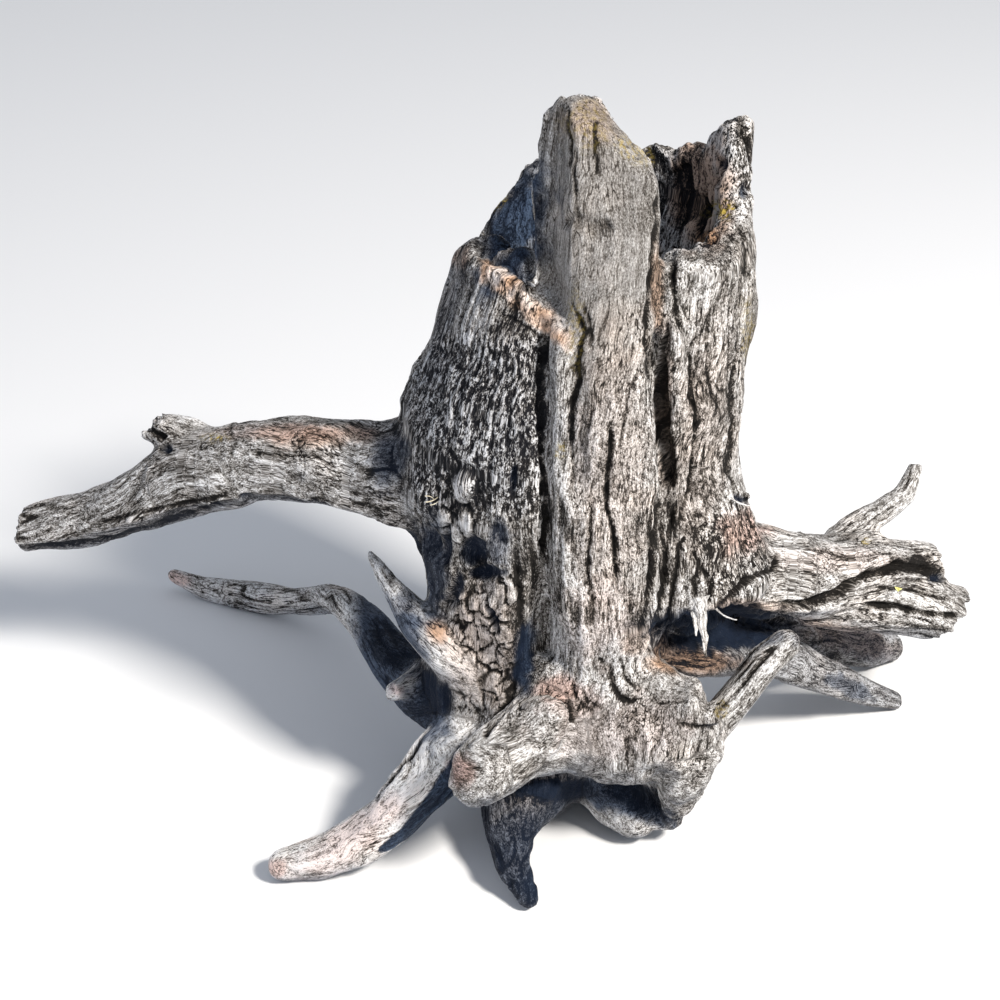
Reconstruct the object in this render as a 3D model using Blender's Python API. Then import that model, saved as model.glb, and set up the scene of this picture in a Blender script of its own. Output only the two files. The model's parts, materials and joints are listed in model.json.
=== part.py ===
"""A sea-worn tree stump on its root tips: one hollow trunk with the roots, snags and spurs that fork from it.

Metres, +Z up. The photograph's viewer looks along +Y, so -Y is the front. The shapes are laid out round the
foot of the trunk's own axis, and the finished object is then moved so that the middle of its base is the
origin.
"""

import math

import bmesh
import bpy
import numpy as np
from mathutils import Matrix, Vector, noise

# Driving dimensions of the trunk
HOLLOW_FLOOR = 0.430
TRUNK_UNDERSIDE = 0.095
WALL_AT_FLOOR = 0.090
STEP_BEHIND_LEDGE = 0.030
NARROWED_AT_LEDGE = 17.0
COLUMN_CROWN = 0.017
BURL_HEIGHT = 0.034
SQUARENESS = 2.25
RIM_ROUNDING = 0.008
LUMP_SIZE = 0.050
LUMP_HEIGHT = 0.006

# How far up the rows of the ball the trunk's underside, its face up to the ledge, the ledge's step, its face
# up to the lip, the top of the rim, the hollow's wall and the hollow's floor end
ROW_MARKS = [0.0, 0.11, 0.60, 0.63, 0.76, 0.81, 0.95, 1.0]

# How finely the solids are faceted
TRUNK_COLUMNS = 150
TRUNK_ROWS = 58
TRUNK_KEEP = 0.23
RINGS_PER_METRE = 24
SECTION_CORNERS = 10
JOINT_GAP = 0.0004
GROUND_TRIM = 0.0

SILVER_GREY = (0.46, 0.43, 0.39, 1.0)

# The trunk's section at each height: (height, half_width, half_depth, sideways centre)
TRUNK_SECTIONS = [
    (0.090, 0.110, 0.100, -0.030),
    (0.150, 0.138, 0.122, -0.024),
    (0.205, 0.146, 0.130, -0.016),
    (0.275, 0.157, 0.138, -0.013),
    (0.345, 0.161, 0.140, -0.027),
    (0.440, 0.162, 0.140, -0.032),
    (0.480, 0.156, 0.138, -0.019),
    (0.550, 0.149, 0.132, -0.006),
    (0.615, 0.136, 0.124, 0.002),
    (0.680, 0.120, 0.112, 0.014),
    (0.720, 0.122, 0.104, 0.022),
    (0.790, 0.116, 0.096, 0.024),
]

# Height of the broken rim by heading round the trunk, where 0 faces the viewer and +90 is the right side:
# (heading, height)
RIM = [
    (-180, 0.660), (-168, 0.672), (-158, 0.652), (-148, 0.668), (-140, 0.660), (-132, 0.640), (-122, 0.592),
    (-112, 0.584), (-102, 0.598), (-92, 0.612), (-80, 0.632), (-72, 0.620), (-62, 0.636), (-56, 0.632),
    (-50, 0.624), (-47, 0.622), (-45.5, 0.740), (-43, 0.768), (-39, 0.786), (-33, 0.787), (-27, 0.779),
    (-20, 0.770), (-12, 0.760), (-4, 0.748), (4, 0.736), (10, 0.718), (14, 0.698), (18, 0.645), (26, 0.630),
    (36, 0.642), (48, 0.636), (60, 0.640), (72, 0.652), (82, 0.650), (90, 0.672), (98, 0.712), (107, 0.728),
    (117, 0.720), (127, 0.682), (138, 0.682), (148, 0.668), (158, 0.676), (170, 0.660), (180, 0.660),
]

# Height of the broken ledge by heading; away from the front it is only a level that the facets follow
LEDGE = [
    (-180, 0.570), (-90, 0.570), (-62, 0.612), (-48, 0.614), (-38, 0.609), (-26, 0.596), (-18, 0.586),
    (-8, 0.578), (20, 0.575), (180, 0.570),
]

# Thickness of the wall at the rim by heading
RIM_WALL = [
    (-180, 0.024), (-110, 0.026), (-75, 0.036), (-50, 0.042), (-30, 0.050), (0, 0.052), (20, 0.038),
    (60, 0.036), (100, 0.030), (180, 0.024),
]

# Lines down the front of the trunk, as sideways position by height: (height, x)
COLUMN_LEFT = [(0.15, -0.054), (0.30, -0.058), (0.60, -0.060), (0.66, -0.075), (0.79, -0.080)]
COLUMN_RIGHT = [
    (0.15, 0.040), (0.20, 0.052), (0.30, 0.056), (0.44, 0.056), (0.57, 0.045), (0.66, 0.048), (0.79, 0.048),
]
COLUMN_SPLIT = [(0.40, -0.029), (0.60, -0.031)]
RIGHT_SPLIT = [(0.33, 0.086), (0.50, 0.078), (0.62, 0.075)]

# Swellings where the trunk runs into its roots: (heading, height, spread in degrees, spread in height, rise)
FLARES = [
    (-98.0, 0.345, 22.0, 0.070, 0.012),
    (96.0, 0.235, 26.0, 0.055, 0.012),
    (-58.0, 0.150, 22.0, 0.050, 0.020),
    (-10.0, 0.155, 26.0, 0.050, 0.010),
    (30.0, 0.150, 20.0, 0.040, 0.030),
    (-118.0, 0.130, 24.0, 0.045, 0.016),
    (132.0, 0.135, 26.0, 0.050, 0.018),
    (178.0, 0.120, 34.0, 0.055, 0.012),
]


def along(table, values, column=1):
    """A column of a table, read in straight lines at the given values of its first column."""
    rows = np.array(table, float)
    return np.interp(values, rows[:, 0], rows[:, column])


def eased(value, low, high):
    """0 below low, 1 above high and a smooth step between."""
    share = np.clip((value - low) / (high - low), 0.0, 1.0)
    return share * share * (3.0 - 2.0 * share)


def hump(offset, width):
    """A rounded hump of height 1, about width wide on each side."""
    return np.exp(-((offset / width) ** 2))


def within(value, low, high, soft):
    """1 between low and high, fading over soft outside them."""
    return eased(value, low - soft, low) * (1.0 - eased(value, high, high + soft))


def clear_scene():
    for leftover in list(bpy.data.objects):
        bpy.data.objects.remove(leftover)


def new_collection(name):
    made = bpy.data.collections.new(name)
    bpy.context.scene.collection.children.link(made)
    return made


def weathered_wood():
    made = bpy.data.materials.new("weathered_wood")
    made.use_nodes = True
    shader = made.node_tree.nodes["Principled BSDF"]
    shader.inputs["Base Color"].default_value = SILVER_GREY
    shader.inputs["Roughness"].default_value = 0.9
    shader.inputs["Metallic"].default_value = 0.0
    return made


def plain_radius(heading, height):
    """Distance of the trunk's outer face from its axis, from its sections alone."""
    turn = np.radians(heading)
    across = np.abs(np.sin(turn)) / along(TRUNK_SECTIONS, height, 1)
    deep = np.abs(np.cos(turn)) / along(TRUNK_SECTIONS, height, 2)
    return (across ** SQUARENESS + deep ** SQUARENESS) ** (-1.0 / SQUARENESS)


def wall_radius(heading, height):
    """Distance of the trunk's outer face from its axis, with the forms that show from a step away."""
    turn = np.radians(heading)
    radius = plain_radius(heading, height)
    x = along(TRUNK_SECTIONS, height, 3) + radius * np.sin(turn)
    front = np.cos(turn) > 0.2
    left = along(COLUMN_LEFT, height)
    right = along(COLUMN_RIGHT, height)
    share = np.clip((x - left) / (right - left), 0.0, 1.0)
    low_fade = eased(height, 0.12, 0.20)

    # The smooth column that runs up the front into the tallest tongue
    column = np.sin(np.pi * share) ** 0.6 * COLUMN_CROWN * low_fade
    # The grooves on its two sides; the left one opens into a deep hollow lower down
    deep = 0.018 + 0.010 * within(height, 0.16, 0.27, 0.05)
    groove_width = 0.008 + 0.010 * within(height, 0.14, 0.26, 0.06)
    left_groove = hump(x - left, groove_width) * deep * (1.0 - eased(height, 0.585, 0.595))
    slot = hump(x - right, 0.0085) * (0.010 + 0.024 * within(height, 0.43, 0.56, 0.03)) * low_fade
    split = hump(x - along(COLUMN_SPLIT, height), 0.0080) * 0.008 * within(height, 0.44, 0.565, 0.03)
    right_split = hump(x - along(RIGHT_SPLIT, height), 0.0085) * 0.010 * within(height, 0.40, 0.60, 0.05)
    front_form = column - left_groove * low_fade - slot - split - right_split
    radius = radius + np.where(front, front_form, 0.0)

    # The burl low on the right, steep underneath, and the hollow below it
    burl = hump(height - 0.285, np.where(height > 0.285, 0.075, 0.040)) * hump(heading - 66.0, 25.0)
    tucked = within(heading, 28.0, 105.0, 18.0) * (1.0 - eased(height, 0.185, 0.235)) * 0.050
    radius = radius + burl * BURL_HEIGHT - tucked
    # The cut branch knot on the left, the plates of bark below it and the pits rotted between them
    knot = hump(heading + 58.0, 6.0) * hump(height - 0.385, 0.018) * 0.014
    bark = within(heading, -88.0, -30.0, 8.0) * within(height, 0.15, 0.315, 0.02)
    pits = hump(heading + 42.0, 7.0) * hump(height - 0.325, 0.022)
    pits = pits + hump(heading + 62.0, 6.0) * hump(height - 0.335, 0.014)
    pits = pits + hump(heading + 78.0, 6.0) * hump(height - 0.290, 0.035)
    radius = radius + knot + bark * 0.010 - pits * 0.022
    for root_heading, root_height, spread, tall, rise in FLARES:
        turned = (heading - root_heading + 180.0) % 360.0 - 180.0
        radius = radius + rise * hump(turned, spread) * hump(height - root_height, tall)
    return radius


def knobbly(points, size, height, seed):
    """Lumps of the given size and height at points, the same each run."""
    shift = Vector((seed * 7.3, seed * 3.1, seed * 5.7))
    return np.array([noise.noise(Vector(p) / size + shift) for p in points]) * height


def trunk_point(heading, row):
    """Maps a heading and a row share (0 under the trunk, 1 at the hollow's floor) to the trunk's surface."""
    turn = np.radians(heading)
    lip = along(RIM, heading) - 0.006
    ledge = np.minimum(along(LEDGE, heading), lip - 0.004)
    wall = along(RIM_WALL, heading)
    top = wall_radius(heading, lip)
    stretches = list(zip(ROW_MARKS, ROW_MARKS[1:]))
    part = [np.clip((row - low) / (high - low), 0.0, 1.0) for low, high in stretches]
    here = [(row >= low) & (row <= high) for low, high in stretches]

    outer_height = TRUNK_UNDERSIDE + (ledge - TRUNK_UNDERSIDE) * part[1]
    outer_height = outer_height + 0.003 * part[2] + (lip - ledge - 0.003) * part[3]
    outer = wall_radius(heading, outer_height)
    inner_height = lip - (lip - HOLLOW_FLOOR) * part[5]
    wall_below = wall + (WALL_AT_FLOOR - wall) * (1.0 - eased(inner_height, HOLLOW_FLOOR, 0.66))
    carried = (top - plain_radius(heading, lip)) * (1.0 - eased(part[5], 0.0, 0.35))
    inner = np.maximum(plain_radius(heading, inner_height) + carried - wall_below, 0.020)
    under = part[0] ** 0.6
    rim_height = lip + RIM_ROUNDING * np.sin(np.pi * part[4])
    radii = [outer * under, outer, outer, outer, top - wall * part[4], inner, inner * (1.0 - part[6])]
    heights = [
        TRUNK_UNDERSIDE + 0.030 * (1.0 - under), outer_height, outer_height, outer_height,
        rim_height, inner_height, HOLLOW_FLOOR - 0.008 * part[6],
    ]
    radius, height = np.select(here, radii), np.select(here, heights)
    # Above the ledge the foot of the tongue is narrower, and stands further back than the wall below
    none, whole = np.zeros_like(row), np.ones_like(row)
    above = np.select(here, [none, none, part[2], whole, whole, eased(height, ledge - 0.06, ledge), none])
    share = np.where(heading < -46.0, eased(heading, -85.0, -46.0), np.clip(-heading / 46.0, 0.0, 1.0))
    turn = turn + np.radians(NARROWED_AT_LEDGE) * share * above * (1.0 - eased(height, 0.60, 0.71))
    x = along(TRUNK_SECTIONS, height, 3) + radius * np.sin(turn)
    behind = above * within(heading, -46.0, 0.0, 1.0)
    behind = behind * (1.0 - eased(x, -0.052, -0.034))
    return np.stack([x, STEP_BEHIND_LEDGE * behind - radius * np.cos(turn), height], axis=1)


def make_trunk(collection, material):
    """A ball whose rows are drawn out into the trunk: underside, outer face, broken rim and hollow."""
    bm = bmesh.new()
    bmesh.ops.create_uvsphere(bm, u_segments=TRUNK_COLUMNS, v_segments=TRUNK_ROWS, radius=1.0)
    ball = np.array([v.co for v in bm.verts])
    heading = np.degrees(np.arctan2(ball[:, 0], -ball[:, 1]))
    row = (np.arcsin(np.clip(ball[:, 2], -1.0, 1.0)) + math.pi / 2) / math.pi
    points = trunk_point(heading, row)
    outward = np.stack([np.sin(np.radians(heading)), -np.cos(np.radians(heading))], axis=1)
    points[:, :2] += knobbly(points, LUMP_SIZE, LUMP_HEIGHT, 1)[:, None] * outward
    for vertex, point in zip(bm.verts, points):
        vertex.co = point
    mesh = bpy.data.meshes.new("trunk")
    bm.to_mesh(mesh)
    bm.free()
    trunk = bpy.data.objects.new("trunk", mesh)
    collection.objects.link(trunk)
    thinned = trunk.modifiers.new("fewer_faces", "DECIMATE")
    thinned.ratio = TRUNK_KEEP
    settle(trunk)
    finish_piece(trunk, material)
    return trunk


def settle(piece):
    """Applies the piece's modifiers."""
    bpy.context.view_layer.update()
    graph = bpy.context.evaluated_depsgraph_get()
    mesh = bpy.data.meshes.new_from_object(piece.evaluated_get(graph))
    piece.modifiers.clear()
    piece.data = mesh


def finish_piece(piece, material):
    bm = bmesh.new()
    bm.from_mesh(piece.data)
    bmesh.ops.triangulate(bm, faces=bm.faces)
    bm.to_mesh(piece.data)
    bm.free()
    piece.data.materials.clear()
    piece.data.materials.append(material)
    piece.data.shade_smooth()
    piece.data.set_sharp_from_angle(angle=math.radians(50))


def smooth_stations(stations):
    """Points and radii on a smooth curve through a limb's stations, evenly spaced, with a rounded tip."""
    rows = np.array(stations, float)
    ends = np.vstack([2 * rows[0] - rows[1], rows, 2 * rows[-1] - rows[-2]])
    dense = []
    for i in range(len(rows) - 1):
        a, b, c, d = ends[i:i + 4]
        t = np.linspace(0.0, 1.0, 20, endpoint=False)[:, None]
        bend = (2 * a - 5 * b + 4 * c - d) * t ** 2 + (3 * b - a - 3 * c + d) * t ** 3
        dense.append(0.5 * (2 * b + (c - a) * t + bend))
    dense = np.vstack([*dense, rows[-1:]])
    walked = np.concatenate([[0.0], np.cumsum(np.linalg.norm(np.diff(dense[:, :3], axis=0), axis=1))])
    samples = max(6, round(walked[-1] * RINGS_PER_METRE) + 1)
    tip = rows[-1, 3]
    body_end = walked[-1] - tip * 0.7
    places = np.concatenate([np.linspace(0.0, body_end, samples), walked[-1] - tip * np.array([0.35, 0.0])])
    evenly = np.stack([np.interp(places, walked, dense[:, k]) for k in range(4)], axis=1)
    evenly[:, 3] = np.maximum(evenly[:, 3], 0.002)
    evenly[-2, 3] *= 0.80
    evenly[-1, 3] *= 0.45
    return evenly


def root_section(name, seed, helpers):
    """The uneven outline of a root's cross-section, of radius 1."""
    corners = SECTION_CORNERS
    outline = bpy.data.curves.new(name, "CURVE")
    outline.dimensions = "2D"
    spline = outline.splines.new("POLY")
    spline.points.add(corners - 1)
    for i, point in enumerate(spline.points):
        turn = 2.0 * math.pi * i / corners
        size = 1.0 + 0.10 * math.sin(2 * turn + seed) + 0.07 * math.sin(3 * turn + 2.1 * seed)
        size += 0.05 * math.sin(5 * turn + seed)
        point.co = (size * math.cos(turn), size * math.sin(turn), 0.0, 1.0)
    spline.use_cyclic_u = True
    made = bpy.data.objects.new(name, outline)
    made.hide_render = True
    made.display_type = "WIRE"
    helpers.objects.link(made)
    return made


def make_limb(name, stations, helpers, collection, material, parents, seed):
    """One root or branch: an uneven section drawn along its stations, and cut where it meets its parents."""
    route = smooth_stations(stations)
    path = bpy.data.curves.new(name, "CURVE")
    path.dimensions = "3D"
    path.bevel_mode = "OBJECT"
    path.bevel_object = root_section(name + "_section", seed, helpers)
    path.use_fill_caps = True
    path.twist_mode = "MINIMUM"
    spline = path.splines.new("POLY")
    spline.points.add(len(route) - 1)
    for i, point in enumerate(spline.points):
        point.co = (*route[i, :3], 1.0)
        point.radius = route[i, 3]
        point.tilt = 0.06 * i * math.sin(seed)
    drawn = bpy.data.objects.new(name + "_path", path)
    helpers.objects.link(drawn)
    bpy.context.view_layer.update()
    mesh = bpy.data.meshes.new_from_object(drawn.evaluated_get(bpy.context.evaluated_depsgraph_get()))
    bpy.data.objects.remove(drawn)

    bm = bmesh.new()
    bm.from_mesh(mesh)
    bmesh.ops.remove_doubles(bm, verts=bm.verts, dist=0.00005)
    points = np.array([v.co for v in bm.verts])
    lumps = knobbly(points, 0.030, 0.16, seed)
    bm.normal_update()
    for vertex, lump in zip(bm.verts, lumps):
        nearest = route[np.argmin(np.linalg.norm(route[:, :3] - np.array(vertex.co), axis=1)), 3]
        vertex.co += vertex.normal * lump * nearest
    trim_to_ground(bm)
    bmesh.ops.triangulate(bm, faces=bm.faces)
    bmesh.ops.recalc_face_normals(bm, faces=bm.faces)
    bm.to_mesh(mesh)
    bm.free()
    limb = bpy.data.objects.new(name, mesh)
    collection.objects.link(limb)
    for parent in parents:
        cut_where_it_meets(limb, parent, helpers)
    finish_piece(limb, material)
    return limb


def trim_to_ground(bm):
    """Wears a limb flat where it would reach below the surface that the stump rests on."""
    if min(v.co.z for v in bm.verts) >= GROUND_TRIM:
        return
    geometry = bm.verts[:] + bm.edges[:] + bm.faces[:]
    cut = bmesh.ops.bisect_plane(
        bm, geom=geometry, plane_co=(0, 0, GROUND_TRIM), plane_no=(0, 0, -1), dist=0.00001, clear_outer=True
    )
    edges = [e for e in cut["geom_cut"] if isinstance(e, bmesh.types.BMEdge)]
    bmesh.ops.holes_fill(bm, edges=edges, sides=0)
    for vertex in bm.verts:
        if abs(vertex.co.z - GROUND_TRIM) < 0.00003:
            vertex.co.z = GROUND_TRIM


def cut_where_it_meets(limb, parent, helpers):
    """Takes the parent, swollen by the joint gap, out of the limb."""
    mesh = parent.data.copy()
    bm = bmesh.new()
    bm.from_mesh(mesh)
    bm.normal_update()
    moved = [v.co + v.normal * JOINT_GAP * min(v.calc_shell_factor(), 4.0) for v in bm.verts]
    for vertex, place in zip(bm.verts, moved):
        vertex.co = place
    bm.to_mesh(mesh)
    bm.free()
    cutter = bpy.data.objects.new(limb.name + "_cut_by_" + parent.name, mesh)
    cutter.hide_render = True
    cutter.display_type = "WIRE"
    helpers.objects.link(cutter)
    cut = limb.modifiers.new("joint", "BOOLEAN")
    cut.operation = "DIFFERENCE"
    cut.object = cutter
    settle(limb)
    keep_largest(limb)
    bpy.data.objects.remove(cutter)


def keep_largest(piece):
    """Drops the crumbs that a cut leaves, and closes up points that nearly meet."""
    bm = bmesh.new()
    bm.from_mesh(piece.data)
    bmesh.ops.remove_doubles(bm, verts=bm.verts, dist=0.0001)
    unseen = set(bm.verts)
    islands = []
    while unseen:
        stack = [unseen.pop()]
        island = set(stack)
        while stack:
            for edge in stack.pop().link_edges:
                for vertex in edge.verts:
                    if vertex in unseen:
                        unseen.discard(vertex)
                        island.add(vertex)
                        stack.append(vertex)
        islands.append(island)
    islands.sort(key=len)
    for island in islands[:-1]:
        bmesh.ops.delete(bm, geom=list(island), context="VERTS")
    bmesh.ops.triangulate(bm, faces=bm.faces)
    bm.to_mesh(piece.data)
    bm.free()


# Roots and branches, in the order in which they are cut to fit: (x, y, z, radius) along each
LIMBS = {
    "left_limb": [
        (-0.120, -0.005, 0.368, 0.055), (-0.185, 0.005, 0.363, 0.054), (-0.217, 0.020, 0.359, 0.048),
        (-0.278, 0.050, 0.351, 0.044), (-0.345, 0.080, 0.336, 0.044), (-0.408, 0.105, 0.305, 0.046),
        (-0.459, 0.120, 0.276, 0.039), (-0.530, 0.145, 0.230, 0.033), (-0.588, 0.160, 0.208, 0.029),
        (-0.628, 0.170, 0.196, 0.024),
    ],
    "left_limb_snag": [
        (-0.385, 0.115, 0.300, 0.030), (-0.409, 0.125, 0.322, 0.027), (-0.433, 0.130, 0.336, 0.022),
        (-0.452, 0.140, 0.339, 0.018), (-0.474, 0.155, 0.332, 0.016),
    ],
    "wavy_root": [
        (-0.100, -0.060, 0.120, 0.045), (-0.138, -0.050, 0.115, 0.042), (-0.173, -0.025, 0.115, 0.034),
        (-0.208, 0.030, 0.119, 0.026), (-0.241, 0.105, 0.113, 0.022), (-0.270, 0.180, 0.093, 0.019),
        (-0.297, 0.240, 0.065, 0.018), (-0.333, 0.285, 0.034, 0.016), (-0.381, 0.315, 0.019, 0.019),
        (-0.423, 0.335, 0.012, 0.017), (-0.464, 0.350, 0.016, 0.012), (-0.496, 0.365, 0.022, 0.007),
    ],
    "claw_root": [
        (-0.063, -0.010, 0.070, 0.052), (-0.067, -0.050, 0.058, 0.056), (-0.070, -0.085, 0.048, 0.055),
        (-0.082, -0.130, 0.049, 0.038), (-0.090, -0.165, 0.046, 0.025), (-0.091, -0.190, 0.038, 0.020),
        (-0.085, -0.210, 0.029, 0.016), (-0.076, -0.224, 0.018, 0.012), (-0.066, -0.234, 0.008, 0.008),
    ],
    "front_left_root": [
        (-0.085, -0.020, 0.116, 0.039), (-0.112, -0.065, 0.117, 0.038), (-0.133, -0.095, 0.112, 0.035),
        (-0.162, -0.125, 0.099, 0.032), (-0.192, -0.148, 0.075, 0.031), (-0.222, -0.163, 0.048, 0.029),
        (-0.256, -0.172, 0.029, 0.025), (-0.292, -0.180, 0.021, 0.021), (-0.331, -0.183, 0.017, 0.015),
    ],
    "front_foot": [
        (0.000, -0.040, 0.122, 0.053), (-0.016, -0.088, 0.134, 0.053), (-0.047, -0.125, 0.146, 0.045),
        (-0.080, -0.165, 0.154, 0.038), (-0.110, -0.205, 0.156, 0.035), (-0.139, -0.236, 0.151, 0.027),
    ],
    "knuckle": [
        (-0.030, -0.050, 0.120, 0.050), (-0.014, -0.095, 0.133, 0.052), (0.020, -0.125, 0.136, 0.048),
        (0.053, -0.145, 0.156, 0.050), (0.080, -0.148, 0.169, 0.046), (0.083, -0.145, 0.125, 0.034),
        (0.079, -0.140, 0.084, 0.022), (0.078, -0.136, 0.045, 0.013),
    ],
    "toe_root": [
        (-0.030, 0.010, 0.080, 0.046), (-0.006, -0.030, 0.058, 0.046), (0.002, -0.055, 0.050, 0.043),
        (0.015, -0.085, 0.043, 0.038), (0.030, -0.108, 0.036, 0.034), (0.044, -0.122, 0.026, 0.027),
        (0.053, -0.130, 0.018, 0.017),
    ],
    "diagonal_branch": [
        (0.085, -0.132, 0.110, 0.016), (0.103, -0.125, 0.132, 0.018), (0.123, -0.117, 0.156, 0.019),
        (0.148, -0.107, 0.187, 0.018), (0.167, -0.098, 0.210, 0.018), (0.194, -0.085, 0.228, 0.015),
    ],
    "right_root": [
        (0.040, 0.000, 0.250, 0.055), (0.114, 0.008, 0.247, 0.054), (0.173, 0.022, 0.235, 0.050),
        (0.234, 0.052, 0.216, 0.044), (0.285, 0.080, 0.206, 0.035), (0.333, 0.110, 0.190, 0.029),
        (0.379, 0.126, 0.188, 0.019),
    ],
    "right_prong": [
        (0.201, 0.030, 0.206, 0.031), (0.235, 0.045, 0.191, 0.031), (0.280, 0.063, 0.177, 0.033),
        (0.331, 0.080, 0.161, 0.034), (0.375, 0.090, 0.147, 0.030), (0.411, 0.098, 0.137, 0.022),
    ],
    "upturned_twig": [
        (0.240, 0.070, 0.215, 0.017), (0.256, 0.090, 0.227, 0.016), (0.271, 0.110, 0.231, 0.015),
        (0.292, 0.125, 0.238, 0.014), (0.315, 0.140, 0.243, 0.013), (0.332, 0.150, 0.252, 0.011),
        (0.344, 0.165, 0.266, 0.009), (0.348, 0.175, 0.280, 0.006),
    ],
    "back_right_root": [
        (0.070, 0.015, 0.150, 0.038), (0.111, 0.040, 0.140, 0.038), (0.181, 0.090, 0.108, 0.035),
        (0.255, 0.150, 0.065, 0.029), (0.315, 0.200, 0.028, 0.025), (0.357, 0.230, 0.011, 0.018),
    ],
    "lower_right_root": [
        (0.064, -0.020, 0.182, 0.033), (0.106, -0.010, 0.173, 0.033), (0.150, 0.010, 0.154, 0.029),
        (0.196, 0.035, 0.120, 0.023), (0.238, 0.060, 0.085, 0.019), (0.282, 0.090, 0.046, 0.016),
        (0.320, 0.110, 0.018, 0.012), (0.347, 0.120, 0.005, 0.009),
    ],
    "spike": [
        (-0.085, -0.075, 0.170, 0.030), (-0.120, -0.095, 0.196, 0.029), (-0.145, -0.094, 0.211, 0.026),
        (-0.165, -0.085, 0.223, 0.022), (-0.185, -0.068, 0.236, 0.017), (-0.202, -0.048, 0.250, 0.012),
        (-0.218, -0.028, 0.265, 0.008), (-0.233, -0.008, 0.279, 0.004),
    ],
    "side_snag": [
        (-0.130, 0.000, 0.125, 0.020), (-0.152, -0.010, 0.129, 0.019), (-0.172, -0.030, 0.137, 0.018),
        (-0.190, -0.045, 0.141, 0.014), (-0.204, -0.060, 0.145, 0.011), (-0.216, -0.070, 0.147, 0.008),
    ],
}


def rest_on_base_centre(pieces):
    """Moves the whole object so that the middle of its base is the origin."""
    corners = np.array([v.co for piece in pieces for v in piece.data.vertices])
    low, high = corners.min(axis=0), corners.max(axis=0)
    shift = Vector((-(low[0] + high[0]) / 2, -(low[1] + high[1]) / 2, -low[2]))
    for piece in pieces:
        piece.data.transform(Matrix.Translation(shift))
    print("moved by:", *[round(c, 5) for c in shift], "size:", *[round(c, 4) for c in high - low])


def main():
    clear_scene()
    stump = new_collection("driftwood_stump")
    helpers = new_collection("helpers")
    helpers.hide_render = True
    wood = weathered_wood()
    pieces = [make_trunk(stump, wood)]
    for i, (name, stations) in enumerate(LIMBS.items()):
        pieces.append(make_limb(name, stations, helpers, stump, wood, list(pieces), 1.0 + 0.7 * i))
    rest_on_base_centre(pieces)
    print("triangles:", sum(len(piece.data.polygons) for piece in pieces))


main()
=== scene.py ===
"""Weathered driftwood stump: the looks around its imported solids.

One skin is grown over all the solids, so that the trunk runs into its roots as real wood does. It is
smoothed, filled at the forks, split finely and carved along the grain: fibres, checks, pits, bark plates
and the breaks of the rim. The skin is then parted again, one piece for each root and branch.
"""

import json
import math
from functools import lru_cache
from itertools import product

import bmesh
import bpy
import numpy as np
from bpy.props import FloatProperty, FloatVectorProperty, PointerProperty
from bpy.types import Operator, Panel, PropertyGroup
from mathutils import Matrix, Vector
from mathutils.bvhtree import BVHTree
from mathutils.kdtree import KDTree

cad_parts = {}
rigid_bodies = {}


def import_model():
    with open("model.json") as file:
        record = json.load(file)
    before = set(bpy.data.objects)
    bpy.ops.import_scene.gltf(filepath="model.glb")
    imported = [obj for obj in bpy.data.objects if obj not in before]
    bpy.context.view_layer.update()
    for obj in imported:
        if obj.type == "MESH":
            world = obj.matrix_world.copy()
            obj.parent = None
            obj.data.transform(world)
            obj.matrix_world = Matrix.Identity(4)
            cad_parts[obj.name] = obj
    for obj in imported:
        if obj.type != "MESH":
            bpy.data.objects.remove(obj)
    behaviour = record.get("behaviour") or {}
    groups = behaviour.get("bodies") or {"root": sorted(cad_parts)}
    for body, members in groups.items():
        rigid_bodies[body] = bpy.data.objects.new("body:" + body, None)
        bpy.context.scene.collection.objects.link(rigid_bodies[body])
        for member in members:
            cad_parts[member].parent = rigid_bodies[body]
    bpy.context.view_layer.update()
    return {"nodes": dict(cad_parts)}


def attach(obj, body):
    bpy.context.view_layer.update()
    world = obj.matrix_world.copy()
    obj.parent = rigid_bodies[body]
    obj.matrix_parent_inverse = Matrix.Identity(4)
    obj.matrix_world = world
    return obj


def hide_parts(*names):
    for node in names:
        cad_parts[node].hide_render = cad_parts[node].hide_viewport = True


bl_info = {
    "name": "Driftwood stump",
    "version": (1, 0, 0),
    "blender": (4, 5, 0),
    "location": "3D View > Sidebar > Driftwood",
    "description": "Builds a weathered stump with its hollow trunk, roots and branches",
    "category": "Object",
}

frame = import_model()
BODY = "root"

# The photograph's camera: it looks along +Y and 30 degrees down from a few steps away.
CAMERA_AT = Vector((0.00858, -2.14158, 1.534))
CAMERA_PITCH = math.radians(30.0)
CAMERA_RISE = np.array((0.0, math.sin(CAMERA_PITCH), math.cos(CAMERA_PITCH)))
CAMERA_AHEAD = np.array((0.0, math.cos(CAMERA_PITCH), -math.sin(CAMERA_PITCH)))
LENS_MM = 86.4
SENSOR_MM = 36.0
PHOTO_PIXELS = 1000
PHOTO_MIDDLE = PHOTO_PIXELS / 2
FOCAL_PIXELS = LENS_MM / SENSOR_MM * PHOTO_PIXELS

MM = 0.001
# Vertices nearer than WELD are one, and each solid is let into its neighbours by OVERLAP, in metres.
WELD = 0.000001
OVERLAP = 0.0006
TRUNK = "trunk"

# Large odd numbers that stir the bits of a lattice cell and its seed, the highest number that is drawn from
# them, and what brings the noise to about -1 to 1.
STIR_X, STIR_Y, STIR_Z, STIR_SEED = 374761393, 668265263, 2246822519, 3266489917
STIR_ONCE, STIR_TWICE = 1274126177, 2654435761
DRAW_TOP = 1023
WAVE_GAIN = 1.35


def spread(a, b, x):
    """0 below a, 1 above b, and an eased step between them."""
    t = np.clip((x - a) / (b - a), 0.0, 1.0)
    return t * t * (3.0 - 2.0 * t)


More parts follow.
